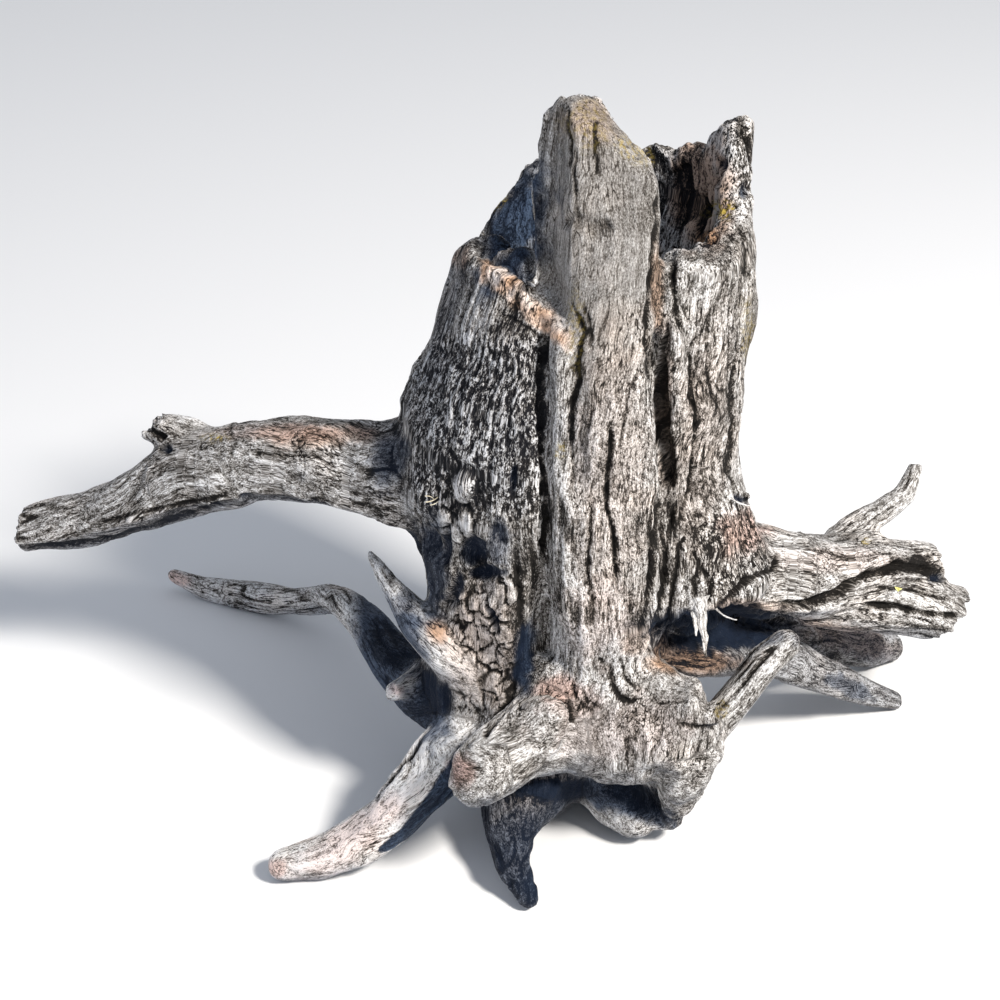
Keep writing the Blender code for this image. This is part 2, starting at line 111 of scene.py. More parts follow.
def draws(cells, seed):
    """Three whole numbers up to DRAW_TOP for each lattice cell, the same on every run."""
    x, y, z = (cells[:, k].astype(np.int64).astype(np.uint32) for k in range(3))
    h = x * np.uint32(STIR_X) + y * np.uint32(STIR_Y) + z * np.uint32(STIR_Z)
    h = h + np.uint32(seed * STIR_SEED & 0xFFFFFFFF)
    h = (h ^ (h >> np.uint32(13))) * np.uint32(STIR_ONCE)
    h = (h ^ (h >> np.uint32(16))) * np.uint32(STIR_TWICE)
    h = h ^ (h >> np.uint32(15))
    return np.stack([(h >> np.uint32(k)) & np.uint32(DRAW_TOP) for k in (0, 10, 20)], 1)


def wave(points, seed):
    """Gradient noise, about -1 to 1, one cell to a unit."""
    cells = np.floor(points)
    inside = points - cells
    ease = inside * inside * inside * (inside * (inside * 6.0 - 15.0) + 10.0)
    total = np.zeros(len(points))
    for corner in product((0, 1), repeat=3):
        step = np.array(corner, float)
        lean = draws(cells + step, seed).astype(float) / (DRAW_TOP / 2) - 1.0
        share = np.prod(np.where(step > 0, ease, 1.0 - ease), axis=1)
        total += share * row_dots(lean, inside - step)
    return total * WAVE_GAIN


def cells_apart(points, seed):
    """Distance to the nearest and the second nearest of one scattered point a cell."""
    base = np.floor(points)
    first, second = np.full((2, len(points)), 9.0)
    for offset in product((-1, 0, 1), repeat=3):
        cell = base + np.array(offset, float)
        gap = row_lengths(cell + draws(cell, seed) / DRAW_TOP - points)
        second = np.minimum(second, np.maximum(first, gap))
        first = np.minimum(first, gap)
    return first, second


def row_lengths(rows):
    """The length of each row."""
    return np.linalg.norm(rows, axis=1)


def row_dots(a, b):
    """The dot product of each row with the same row of another array."""
    return np.einsum("ij,ij->i", a, b)


def read(items, name, width, dtype=np.float64):
    """One value of every vertex, edge, corner or polygon as an array."""
    values = np.empty(len(items) * width, dtype)
    items.foreach_get(name, values)
    return values.reshape(-1, width) if width > 1 else values


def spots(mesh):
    return read(mesh.vertices, "co", 3)


def move(mesh, places):
    mesh.vertices.foreach_set("co", places.astype(np.float32).ravel())
    mesh.update()


def normals_of(mesh):
    return read(mesh.vertex_normals, "vector", 3, np.float32).astype(float)


def edges_of(mesh):
    return read(mesh.edges, "vertices", 2, np.int32)


def averaged(values, edges):
    """Each vertex's mean over its neighbours."""
    count = len(values)
    degree = np.bincount(edges.ravel(), minlength=count).astype(float)
    flat = values.reshape(count, -1)
    total = np.empty_like(flat, dtype=float)
    for k in range(flat.shape[1]):
        total[:, k] = np.bincount(edges[:, 0], flat[edges[:, 1], k], count)
        total[:, k] += np.bincount(edges[:, 1], flat[edges[:, 0], k], count)
    return (total / np.maximum(degree, 1.0)[:, None]).reshape(values.shape)


# What each root or branch grows out of, which is where its grain starts.
GROWS_FROM = {
    "left_limb": "trunk",
    "left_limb_snag": "left_limb",
    "wavy_root": "trunk",
    "claw_root": "trunk",
    "front_left_root": "trunk",
    "front_foot": "trunk",
    "knuckle": "trunk",
    "toe_root": "trunk",
    "diagonal_branch": "knuckle",
    "right_root": "trunk",
    "right_prong": "right_root",
    "upturned_twig": "right_root",
    "back_right_root": "trunk",
    "lower_right_root": "trunk",
    "spike": "trunk",
    "side_snag": "trunk",
}
NAMES = [TRUNK] + list(GROWS_FROM)
# The side of the squares of the first skin, in metres.
COARSE_VOXEL = 0.004


def merged(name):
    """A bmesh copy of a CAD solid with its loose triangles joined."""
    bm = bmesh.new()
    bm.from_mesh(frame["nodes"][name].data)
    bmesh.ops.remove_doubles(bm, verts=bm.verts, dist=WELD)
    bm.normal_update()
    return bm


def as_mesh(bm, name="driftwood helper"):
    mesh = bpy.data.meshes.new(name)
    bm.to_mesh(mesh)
    bm.free()
    return mesh


def shown(data, name):
    """An object in the scene for a mesh, a lamp or a camera, at the origin."""
    thing = bpy.data.objects.new(name, data)
    bpy.context.scene.collection.objects.link(thing)
    return thing


def remeshed(mesh, voxel):
    """One closed skin of even squares over everything in a mesh."""
    thing = shown(mesh, "driftwood helper")
    modifier = thing.modifiers.new("skin", "REMESH")
    modifier.mode = "VOXEL"
    modifier.voxel_size = voxel
    evaluated = thing.evaluated_get(bpy.context.evaluated_depsgraph_get())
    skin = bpy.data.meshes.new_from_object(evaluated)
    bpy.data.objects.remove(thing)
    bpy.data.meshes.remove(mesh)
    return skin


def largest_skin(mesh):
    """Keeps the outer skin, and drops the bubbles left between and inside the solids."""
    bm = bmesh.new()
    bm.from_mesh(mesh)
    left = set(bm.verts)
    skins = []
    while left:
        part = [left.pop()]
        for vert in part:
            for edge in vert.link_edges:
                other = edge.other_vert(vert)
                if other in left:
                    left.discard(other)
                    part.append(other)
        skins.append(part)
    skins.sort(key=len)
    for part in skins[:-1]:
        bmesh.ops.delete(bm, geom=part, context="VERTS")
    bm.to_mesh(mesh)
    bm.free()
    return mesh


# Swellings that run the solids into each other: the pixel of the photograph that their middle shows at,
# its depth along Y in metres, half sizes in millimetres, and the lean on the picture in degrees.
SWELLINGS = {
    "knuckle body": (652, 724, -0.205, (60, 42, 44), 8),
    "knuckle leg": (688, 772, -0.222, (22, 22, 38), 20),
    "saddle": (594, 728, -0.202, (62, 36, 32), 4),
    "collar": (602, 688, -0.188, (58, 34, 44), 0),
    "collar left": (556, 690, -0.186, (34, 30, 36), -30),
    "collar right": (652, 690, -0.196, (34, 30, 30), 0),
    "core": (590, 700, -0.150, (90, 50, 50), 0),
    "foot": (520, 742, -0.235, (62, 32, 32), -48),
    "toe end": (664, 812, -0.182, (20, 20, 15), 20),
    "toe back": (646, 792, -0.145, (30, 26, 22), 10),
}
# Broken stubs and splinters that stand out of the wood: the pixel and the depth of both ends, and the
# radius at each in millimetres.
STUBS = (
    ((668, 724, -0.226), (718, 713, -0.230), 15, 11),
    ((735, 505, -0.120), (752, 494, -0.118), 6, 3.5),
)


# How finely a ball is split, and how many sides a stub has.
BALL_SPLITS, STUB_SIDES = 3, 24


def behind_pixel(u, v, y):
    """The place in the frame that a pixel of the photograph shows, at a depth along Y."""
    right, up = (u - PHOTO_MIDDLE) / FOCAL_PIXELS, (PHOTO_MIDDLE - v) / FOCAL_PIXELS
    ray = Vector(CAMERA_AHEAD + up * CAMERA_RISE + np.array((right, 0.0, 0.0)))
    return CAMERA_AT + ray * ((y - CAMERA_AT.y) / ray.y)


def add_ball(bm, halves):
    """Adds a ball drawn out to its half sizes in millimetres, and gives its vertices back."""
    ball = bmesh.ops.create_icosphere(bm, subdivisions=BALL_SPLITS, radius=1.0)["verts"]
    bmesh.ops.scale(bm, verts=ball, vec=Vector(halves) * MM)
    return ball


def add_cone(bm, sides, thick, thin, length):
    """Adds a capped cone along Z, its end radii in millimetres, and gives its vertices back."""
    return bmesh.ops.create_cone(
        bm, cap_ends=True, segments=sides, radius1=thick * MM, radius2=thin * MM, depth=length
    )["verts"]


def let_in_swellings(bm):
    """Adds the rounded forms that smooth the collar, the knuckle and the foot, and the broken stubs."""
    for u, v, y, halves, lean in SWELLINGS.values():
        ball = add_ball(bm, halves)
        turn = Matrix.Rotation(math.radians(lean), 3, "Y")
        bmesh.ops.rotate(bm, verts=ball, matrix=turn)
        bmesh.ops.translate(bm, verts=ball, vec=behind_pixel(u, v, y))
    for start, end, thick, thin in STUBS:
        low, high = behind_pixel(*start), behind_pixel(*end)
        stub = add_cone(bm, STUB_SIDES, thick, thin, (high - low).length)
        aim = (high - low).to_track_quat("Z", "Y").to_matrix()
        bmesh.ops.rotate(bm, verts=stub, matrix=aim)
        bmesh.ops.translate(bm, verts=stub, vec=(low + high) / 2)


def joined_solids():
    """All the CAD solids in one mesh, each let into its neighbours by a hair."""
    bm = bmesh.new()
    let_in_swellings(bm)
    for name in NAMES:
        copy = merged(name)
        for vert in copy.verts:
            vert.co += vert.normal * OVERLAP
        mesh = as_mesh(copy)
        bm.from_mesh(mesh)
        bpy.data.meshes.remove(mesh)
    return as_mesh(bm)


@lru_cache(maxsize=None)
def solid_trees():
    """A search tree over every solid's triangles, and which solid each belongs to."""
    places, owners = [], []
    for k, name in enumerate(NAMES):
        mesh = frame["nodes"][name].data
        mesh.calc_loop_triangles()
        corners = spots(mesh)[[t.vertices[:] for t in mesh.loop_triangles]]
        places.append(corners.reshape(-1, 3))
        owners += [k] * len(corners)
    places = np.concatenate(places)
    faces = np.arange(len(places)).reshape(-1, 3)
    return BVHTree.FromPolygons(places.tolist(), faces.tolist()), np.array(owners)


def owners_of(places):
    """The solid that each place is nearest to."""
    tree, owners = solid_trees()
    return owners[[tree.find_nearest(place)[2] for place in places.tolist()]]


# Rounds of smoothing that take the facets off, and how far each shrinks the skin and draws it out again.
FACET_ROUNDS, SHRINK, REGROW = 14, 0.62, 0.64
# Rounds that spread each solid's share over its forks, with the neighbours' weight and its own, and then
# widen the forks.
FORK_WIDTH_ROUNDS, NEIGHBOURS, ITSELF, FORK_GROWTH_ROUNDS = 26, 0.7, 0.3, 4
# Rounds that fill the forks, how far each one goes, and how often the way outwards is worked out again.
FORK_FILL_ROUNDS, FORK_FILL, ROUNDS_A_TURN = 120, 0.9, 6


def rounded_off(mesh):
    """Takes the solids' facets out of the coarse skin, and fills the creases where roots fork."""
    places = spots(mesh)
    edges = edges_of(mesh)
    for _ in range(FACET_ROUNDS):
        places += SHRINK * (averaged(places, edges) - places)
        places -= REGROW * (averaged(places, edges) - places)
    move(mesh, places)
    owner = owners_of(places)
    shares = np.eye(len(NAMES))[owner]
    for _ in range(FORK_WIDTH_ROUNDS):
        shares = averaged(shares, edges) * NEIGHBOURS + shares * ITSELF
    fork = spread(0.0, 0.25, 1.0 - shares.max(axis=1))
    for _ in range(FORK_GROWTH_ROUNDS):
        fork = np.maximum(fork, averaged(fork, edges))
    for k in range(FORK_FILL_ROUNDS):
        if k % ROUNDS_A_TURN == 0:
            move(mesh, places)
            normal = normals_of(mesh)
        pull = averaged(places, edges) - places
        outward = np.maximum(row_dots(pull, normal), 0.0)
        places += normal * (outward * fork)[:, None] * FORK_FILL
    places[:, 2] = np.maximum(places[:, 2], 0.0)
    move(mesh, places)
    return mesh, shares


# The line down the trunk: its highest slab, how many marks part its slabs, and how far it runs on below and
# above them, in metres.
TRUNK_LINE_TOP, TRUNK_MARKS, RUN_BELOW, RUN_ABOVE = 0.66, 12, 0.1, 0.16
# How near its parent a root's solid starts, and the spread of that gap, in metres.
FORK_GAP, GAP_SPREAD = 0.0025, 0.001
# Metres between the stations down a root, and the rounds that take the corners off the line through them.
STATION_STEP = 0.03
CORNER_ROUNDS = 2


@lru_cache(maxsize=None)
def stations_of(name):
    """Points down the middle of the trunk, or of a root from its fork to past its tip, read off its solid."""
    bm = merged(name)
    verts = np.array([v.co for v in bm.verts])
    if name == TRUNK:
        marks = np.linspace(verts[:, 2].min(), TRUNK_LINE_TOP, TRUNK_MARKS)
        line = []
        for low, high in zip(marks[:-1], marks[1:]):
            slab = verts[(verts[:, 2] >= low) & (verts[:, 2] <= high)]
            line.append((slab.min(0) + slab.max(0)) / 2)
        line = np.array(line)
        line[:, 2] = (marks[:-1] + marks[1:]) / 2
        for _ in range(3):
            line[1:-1, :2] = (line[:-2, :2] + line[1:-1, :2] + line[2:, :2]) / 3
        line = np.vstack([line[0] - (0, 0, RUN_BELOW), line, line[-1] + (0, 0, RUN_ABOVE)])
    else:
        parent = merged(GROWS_FROM[name])
        tree = BVHTree.FromBMesh(parent)
        parent.free()
        gap = np.array([tree.find_nearest(v.co)[3] for v in bm.verts])
        reach = np.where(gap < max(FORK_GAP, gap.min() + GAP_SPREAD), 0.0, np.inf)
        ends = np.array([[v.index for v in e.verts] for e in bm.edges])
        long = row_lengths(verts[ends[:, 0]] - verts[ends[:, 1]])
        for _ in range(len(verts)):
            before = reach.copy()
            np.minimum.at(reach, ends[:, 0], before[ends[:, 1]] + long)
            np.minimum.at(reach, ends[:, 1], before[ends[:, 0]] + long)
            if np.array_equal(before, reach):
                break
        bins = max(3, round(reach.max() / STATION_STEP))
        which = np.minimum((reach / reach.max() * bins).astype(int), bins - 1)
        line = np.array([verts[which == k].mean(0) for k in range(bins) if (which == k).any()])
        tip = verts[reach.argmax()]
        first = line[0] - (line[1] - line[0])
        line = np.vstack([first, line, tip + (tip - line[-1])])
    bm.free()
    return line


@lru_cache(maxsize=None)
def middle_line(name):
    """The rounded line down the middle of the trunk or of a root, and the frame at each of its points."""
    line = stations_of(name)
    for _ in range(0 if name == TRUNK else CORNER_ROUNDS):
        nearer, further = line[:-1] * 0.75 + line[1:] * 0.25, line[:-1] * 0.25 + line[1:] * 0.75
        line = np.vstack([line[:1], np.stack([nearer, further], 1).reshape(-1, 3), line[-1:]])
    steps = np.diff(line, axis=0)
    along = np.concatenate([[0.0], np.cumsum(row_lengths(steps))])
    heading = np.vstack([steps[:1], steps])
    heading[1:-1] = steps[:-1] + steps[1:]
    heading /= row_lengths(heading)[:, None]
    side = [np.array((1.0, 0.0, 0.0)) if abs(heading[0, 0]) < 0.8 else np.array((0.0, 1.0, 0.0))]
    for h in heading:
        turned = side[-1] - h * (side[-1] @ h)
        side.append(turned / np.linalg.norm(turned))
    return line, along, heading, np.array(side[1:])


def grain_of(name, places):
    """Where a place lies across and along the wood of a root: two offsets and a length, in metres."""
    line, along, heading, side = middle_line(name)
    best = np.full(len(places), np.inf)
    result = np.zeros((len(places), 3))
    for k in range(len(line) - 1):
        run = line[k + 1] - line[k]
        t = (places - line[k]) @ run / (run @ run)
        t = np.clip(t, -np.inf if k == 0 else 0.0, np.inf if k == len(line) - 2 else 1.0)[:, None]
        offset = places - line[k] - t * run
        gap = row_lengths(offset)
        near = gap < best
        share = np.clip(t, 0.0, 1.0)
        way = heading[k] * (1 - share) + heading[k + 1] * share
        way /= row_lengths(way)[:, None]
        across = side[k] * (1 - share) + side[k + 1] * share
        across -= way * row_dots(across, way)[:, None]
        across /= row_lengths(across)[:, None]
        length = along[k] + t[:, 0] * (along[k + 1] - along[k])
        here = np.stack([row_dots(offset, across), row_dots(offset, np.cross(way, across)), length], 1)
        result[near] = here[near]
        best = np.minimum(best, gap)
    return result


# The planes that the trunk's skin is cut at, as a place and the way to the side that is kept, so that each
# piece stays of a workable size.
UP, BACK = Vector((0.0, 0.0, 1.0)), Vector((0.0, 1.0, 0.0))
COLLAR_TOP, COLUMN_MIDDLE = UP * 0.215, BACK * -0.068
TRUNK_PIECES = {
    "trunk_front": ((COLLAR_TOP, UP), (COLUMN_MIDDLE, -BACK)),
    "trunk_back": ((COLLAR_TOP, UP), (COLUMN_MIDDLE, BACK)),
    "root_collar": ((COLLAR_TOP, -UP),),
}


def seen_at(places):
    """Where a place falls in the photograph, in pixels from its left and top edges."""
    offset = places - np.array(CAMERA_AT)
    depth = offset @ CAMERA_AHEAD
    right, up = FOCAL_PIXELS * offset[:, 0] / depth, FOCAL_PIXELS * (offset @ CAMERA_RISE) / depth
    return PHOTO_MIDDLE + right, PHOTO_MIDDLE - up


def pixel_gap(u, v, points):
    """Distance in pixels to a line drawn through points of the photograph, and the share of its length."""
    points = np.array(points, float)
    runs = np.diff(points, axis=0)
    longs = row_lengths(runs)
    starts = np.concatenate([[0.0], np.cumsum(longs)])
    best = np.full(len(u), np.inf)
    share = np.zeros(len(u))
    for k, run in enumerate(runs):
        du, dv = u - points[k, 0], v - points[k, 1]
        t = np.clip((du * run[0] + dv * run[1]) / (run @ run), 0.0, 1.0)
        gap = np.hypot(du - t * run[0], dv - t * run[1])
        near = gap < best
        best[near] = gap[near]
        share[near] = ((starts[k] + t * longs[k]) / starts[-1])[near]
    return best, share


def oval(u, v, middle_u, middle_v, half_u, half_v, lean=0.0):
    """0 at the middle of an oval of the photograph and 1 at its edge."""
    sine, cosine = math.sin(math.radians(lean)), math.cos(math.radians(lean))
    du, dv = u - middle_u, v - middle_v
    return np.hypot((du * cosine + dv * sine) / half_u, (dv * cosine - du * sine) / half_v)


def region(reach, edge=0.25):
    """1 inside an oval, easing to 0 at its edge."""
    return 1.0 - spread(1.0 - edge, 1.0 + edge, reach)


# Splits of the weathered face, traced from the photograph: points in pixels, half width in pixels (a pixel
# is about a millimetre), depth in millimetres and how dark they are painted inside: the dark wood of a crack,
# and painted shade where a split stands for the shadow line under the burl or a shallow hollow.
SPLITS = (
    (((546, 326), (541, 370), (540, 440), (543, 476), (545, 513), (543, 545), (548, 570)), 3.4, 8, 0.9),
    (((569, 296), (577, 313), (586, 332), (579, 347), (577, 366), (579, 380), (573, 402), (571, 427),
      (573, 462), (570, 500)), 2.4, 5, 0.8),
    (((584, 305), (590, 325), (592, 352)), 1.8, 3, 0.6),
    (((611, 418), (611, 440), (608, 476), (606, 503), (611, 520), (614, 537), (616, 566), (618, 588)),
     2.6, 7, 1.0),
    (((594, 492), (591, 520), (589, 544), (588, 576), (591, 595), (597, 610)), 2.0, 5, 0.8),
    (((661, 180), (659, 220), (652, 250), (650, 285), (646, 320), (645, 345), (655, 370)), 2.6, 5, 0.8),
    (((498, 313), (515, 320), (532, 330), (541, 338)), 1.8, 3, 0.7),
    (((657, 490), (658, 520), (654, 542), (652, 571), (646, 610), (640, 640)), 2.8, 6, 0.9),
    (((674, 258), (674, 298), (679, 322), (683, 334)), 2.4, 6, 0.8),
    (((688, 342), (691, 371), (688, 395), (696, 412), (693, 460), (686, 500), (678, 530)), 1.8, 4, 0.7),
    (((712, 300), (706, 340), (710, 380), (722, 420)), 1.4, 2, 0.5),
    (((741, 330), (733, 380), (731, 430), (727, 470), (738, 496)), 2.0, 4, 0.7),
    (((676, 500), (668, 540), (664, 575), (657, 620), (651, 650)), 2.6, 6, 0.9),
    (((690, 520), (678, 555), (672, 590), (668, 625), (664, 645)), 1.8, 4, 0.7),
    (((691, 548), (702, 566), (712, 585), (706, 604)), 2.4, 5, 0.9),
    (((700, 560), (694, 580), (697, 600)), 1.8, 4, 0.8),
    # The burl's lower edge: a groove darkened with its painted shadow line.
    (((779, 552), (774, 567), (759, 575), (744, 582), (731, 595), (718, 606)), 2.6, 7, 0.9),
    (((567, 105), (567, 126), (572, 142), (570, 170)), 1.6, 3, 0.7),
    (((596, 118), (595, 150), (598, 178)), 1.6, 3, 0.8),
    (((577, 145), (575, 180), (578, 214), (571, 250)), 1.4, 2, 0.5),
    # A broad shallow hollow across the tongue, darkened with painted shade.
    (((566, 214), (580, 224), (598, 230), (612, 222)), 9, 6, 0.20),
    (((513, 560), (521, 600), (522, 640), (516, 676), (506, 700)), 2.6, 5, 0.9),
    (((571, 682), (575, 695), (583, 706), (590, 711)), 1.6, 2.5, 0.8),
    (((581, 686), (588, 700), (596, 708)), 1.4, 2, 0.7),
    (((611, 660), (613, 683), (619, 697), (631, 702), (640, 695)), 2.4, 4, 0.9),
    (((620, 655), (625, 676), (635, 690)), 1.5, 2.5, 0.7),
    (((596, 658), (606, 664), (609, 682)), 1.4, 2, 0.6),
    (((482, 738), (500, 712), (512, 694)), 3.0, 6, 0.9),
    (((570, 699), (571, 712), (573, 724)), 1.6, 3, 0.7),
    (((677, 724), (697, 727), (717, 727)), 2.2, 4, 0.8),
    (((655, 704), (668, 700), (690, 702)), 1.5, 2, 0.6),
    (((18, 547), (60, 545), (117, 537), (182, 516), (240, 497)), 2.8, 5, 0.8),
    (((85, 524), (120, 517), (170, 506), (235, 494)), 2.2, 4, 0.6),
    (((250, 452), (300, 456), (345, 455)), 1.4, 2, 0.5),
    (((139, 420), (152, 430), (166, 439)), 3.2, 7, 0.9),
    (((772, 608), (803, 604), (822, 600), (835, 594), (864, 577), (902, 565), (946, 574)), 5.0, 12, 0.8),
    (((800, 548), (850, 556), (900, 552)), 1.4, 2, 0.5),
    (((862, 604), (898, 606), (911, 611), (937, 614), (966, 616)), 3.0, 7, 0.9),
    (((872, 586), (910, 590), (950, 600)), 1.6, 3, 0.6),
    (((862, 622), (900, 624), (945, 628)), 1.4, 2, 0.5),
    (((395, 605), (403, 607), (411, 611)), 1.6, 3, 0.8),
    (((424, 738), (398, 770), (370, 802)), 3.2, 6, 0.9),
)
# The long open cleft beside the column: its line in pixels, half width in pixels, depth in millimetres.
CLEFT = ((668, 322), (662, 350), (660, 400), (664, 440), (668, 462), (668, 494))
CLEFT_HALF = 7.5
CLEFT_DEPTH_MM = 15.0
# Hollows rotted into the wood, and the opening under the burl, each cut in and darkened with painted shade:
# middle and half size in pixels, lean in degrees, depth in millimetres.
ROT_HOLES = (
    (474, 551, 17, 15, 10, 7),
    (500, 534, 7, 15, -10, 7),
    (487, 572, 20, 8, 0, 5),
    (456, 590, 7, 20, 10, 9),
    (493, 616, 4, 18, -20, 8),
    (513, 480, 4, 20, 0, 6),
    (446, 545, 6, 24, 8, 8),
    (684, 640, 36, 20, -8, 26),
    (736, 626, 44, 21, -8, 32),
    (783, 622, 22, 8, 10, 12),
    (246, 497, 8, 4, 0, 5),
    (166, 449, 6, 5, 0, 6),
    (938, 578, 11, 5, -10, 9),
    (745, 190, 7, 10, 10, 9),
    (706, 210, 7, 8, 0, 8),
    (722, 165, 6, 9, 20, 6),
    (741, 499, 10, 4, 25, 5),
)
# The deepest that such a hollow goes into a root, so that it stays short of the root's middle.
ROOT_HOLE_MM = 8
# The deep shade under the burl and under the arch of the knuckle, and the roots that stand out of it.
GLOOM = (
    (722, 630, 70, 21, 0), (640, 798, 42, 15, 22), (556, 790, 40, 12, 0), (428, 702, 24, 34, -10),
    (396, 640, 26, 34, -35), (408, 560, 12, 46, 0),
)
LIT_ROOTS = (
    "diagonal_branch", "knuckle", "front_foot", "front_left_root", "spike", "side_snag", "left_limb",
)
# The root's flank that the foot shades, and its half width at its upper end, in pixels.
SHADED_FLANK = ((472, 748), (450, 780), (428, 810), (402, 836), (380, 850))
FLANK_WIDTH = 13.0
# The recess between the bark and the column, cut in and darkened with painted shade, and its half width in
# pixels.
RECESS = ((533, 560), (538, 600), (535, 640), (531, 672), (519, 692))
RECESS_HALF = 12.0
# Places on the photograph: middle and half size in pixels, and for some a lean in degrees.
KNOT = (463, 487, 13, 17)
BURL = (738, 552, 46, 56)
RIGHT_WALL = (705, 430, 48, 150)
RIM_KNOB = (736, 165, 26, 60)
WORN_COLUMN = (598, 300, 54, 330)
SILKY_TONGUE = (596, 220, 60, 160)
STUB_END = (722, 709, 8, 11, 15)
DARK_LUMPS = ((441, 600, 12, 17), (472, 563, 11, 7))
BARK_PATCHES = ((476, 650, 34, 62, 0), (508, 588, 14, 16, 0), (455, 520, 20, 26, 0), (540, 800, 48, 30, 0))
# Sides of areas of the trunk, in pixels from the left or the top of the photograph: where the marks of the
# area end and where they are full. The left face is rotted, the base of the column is pale, and the decay of
# the hollow and of the knob is cut in from DECAY_LEFT to the right.
LEFT_FACE_LEFT, LEFT_FACE_RIGHT = (398, 420), (549, 538)
LEFT_FACE_TOP, LEFT_FACE_BOTTOM = (316, 350), (540, 500)
PALE_BASE_LEFT, PALE_BASE_TOP = (540, 560), (560, 640)
DECAY_LEFT = (530, 570)
# The broken ledge: its line, how far the wood above it has dropped and the width of its crumbly band. Then
# the sides of the drop and of the band, those at the left and the right as above, and the rest in pixels
# below the line.
LEDGE = ((476, 256), (485, 262), (500, 272), (516, 288), (532, 303), (552, 315), (572, 332))
LEDGE_DROP_MM = 8.0
LEDGE_BAND = 17
DROP_LEFT, DROP_RIGHT, DROP_TOP, DROP_BOTTOM = (472, 480), (548, 530), (-40, -20), (1, -4)
BAND_LEFT, BAND_RIGHT, BAND_MIDDLE = (476, 484), (580, 566), 8
# The middle of the hollow, along X and Y in metres, and where wood begins to be its wall and fully is: how
# high it lies and how near the middle, in metres, and how much it faces away from the middle.
HOLLOW_AXIS = (0.105, -0.055)
HOLLOW_FLOOR, HOLLOW_REACH, HOLLOW_FACING = (0.40, 0.44), (0.15, 0.13), (0.05, -0.25)
# How much the wood faces the back where the marks traced from the photograph end and where they are full,
# and how much of the way up is taken off it.
FRONT_FACING, FRONT_TILT = (0.10, -0.25), 0.35
# Noise that makes a split wander and narrow here and there: the size of a cell in metres and the seed.
SPLIT_WANDER, SPLIT_BREAKS = (0.012, 81), (0.016, 83)

# Where the wood is stained, and, in the last list, where shade is painted on it: middle and half size in
# pixels, lean in degrees, and how strongly.
STAINS_AND_SHADE = {
    "heartwood": (
        (612, 480, 36, 150, 0, 0.22), (705, 238, 14, 9, 0, 1.0), (700, 190, 30, 54, 0, 0.75),
        (590, 118, 28, 24, 0, 0.4),
        (437, 631, 11, 13, 0, 0.9), (320, 436, 62, 11, 0, 0.5), (658, 290, 6, 40, 0, 0.7),
        (692, 662, 46, 12, -3, 0.9), (745, 608, 40, 8, 0, 0.5), (664, 400, 8, 70, 0, 0.35),
        (482, 646, 36, 62, 0, 0.30), (503, 192, 6, 18, 25, 0.5), (700, 440, 30, 120, 8, 0.20),
        (462, 253, 8, 14, 10, 0.7), (850, 640, 50, 14, 15, 0.6), (640, 640, 22, 14, -20, 0.4),
    ),
    "rose": (
        (462, 772, 14, 15, 0, 0.9), (558, 691, 20, 14, 0, 0.8), (576, 704, 34, 20, 0, 0.4),
        (746, 532, 24, 22, 0, 0.7), (350, 840, 70, 20, -38, 0.45), (275, 868, 11, 9, 0, 0.7),
        (620, 730, 70, 30, 0, 0.25), (290, 432, 70, 9, 0, 0.45), (178, 580, 15, 8, 20, 0.7),
        (600, 620, 34, 40, 0, 0.2), (395, 690, 10, 8, 0, 0.6), (840, 560, 60, 12, 0, 0.25),
    ),
    "lichen": (
        (586, 122, 22, 26, 10, 0.22), (636, 152, 20, 11, 35, 0.4), (719, 210, 15, 8, -10, 1.0),
        (502, 195, 6, 14, 25, 0.8), (214, 437, 12, 5, 0, 0.5), (575, 330, 8, 40, 0, 0.25),
        (748, 330, 7, 30, 0, 0.25), (866, 541, 4, 3, 0, 0.9), (560, 452, 6, 8, 0, 0.35),
    ),
    # Painted shade, not a stain: in the hollow behind the tongue, on the left face, in the recess, where the
    # limb meets the trunk, on the wavy root and the claw, and under the arch, the burl and the right roots.
    "damp": (
        (516, 226, 30, 66, 18, 1.0), (508, 268, 22, 12, 36, 0.8), (704, 190, 30, 56, 0, 0.15),
        (440, 330, 12, 90, 14, 0.35), (467, 420, 84, 110, 0, 0.24), (526, 654, 10, 38, 5, 1.0),
        (390, 458, 18, 34, 15, 0.7), (432, 570, 16, 60, 0, 0.8), (392, 640, 36, 44, 0, 0.9),
        (424, 716, 28, 34, 0, 0.9), (512, 842, 60, 40, 0, 0.75), (620, 800, 62, 14, 20, 0.9),
        (722, 630, 70, 20, 0, 0.85), (862, 648, 46, 16, 15, 0.6), (850, 688, 30, 10, 25, 0.7),
        (500, 540, 12, 26, 0, 0.6),
    ),
}
LOOKS = ["tone", "pitting", *STAINS_AND_SHADE]
# How much lighter or darker than the rest whole roots are: weathering, and for the claw root painted shade,
# as it lies under the foot and the knuckle.
ROOT_TONES = {
    "front_left_root": 0.20, "wavy_root": 0.10, "spike": 0.14, "claw_root": -0.14, "left_limb": -0.03,
    "right_root": 0.01, "knuckle": -0.02, "toe_root": 0.12, "side_snag": 0.22,
}
# Roots whose wood is plainer, winds more round its knots and has fewer checks.
KNOTTY_ROOTS = ("front_foot", "knuckle")
# How far from its middle line, in metres, a root's marks are as deep as on the thickest wood.
FULL_GIRTH = 0.03
# How much painted shade whole roots carry, that lie in the shade under the trunk, and the pixels from the
# photo's left where the painted shadow on the wavy root begins and is full.
SHADED_ROOTS = {"claw_root": 0.95, "toe_root": 0.10, "back_right_root": 0.4, "lower_right_root": 0.35}
WAVY_ROOT_SHADE = (346, 366)


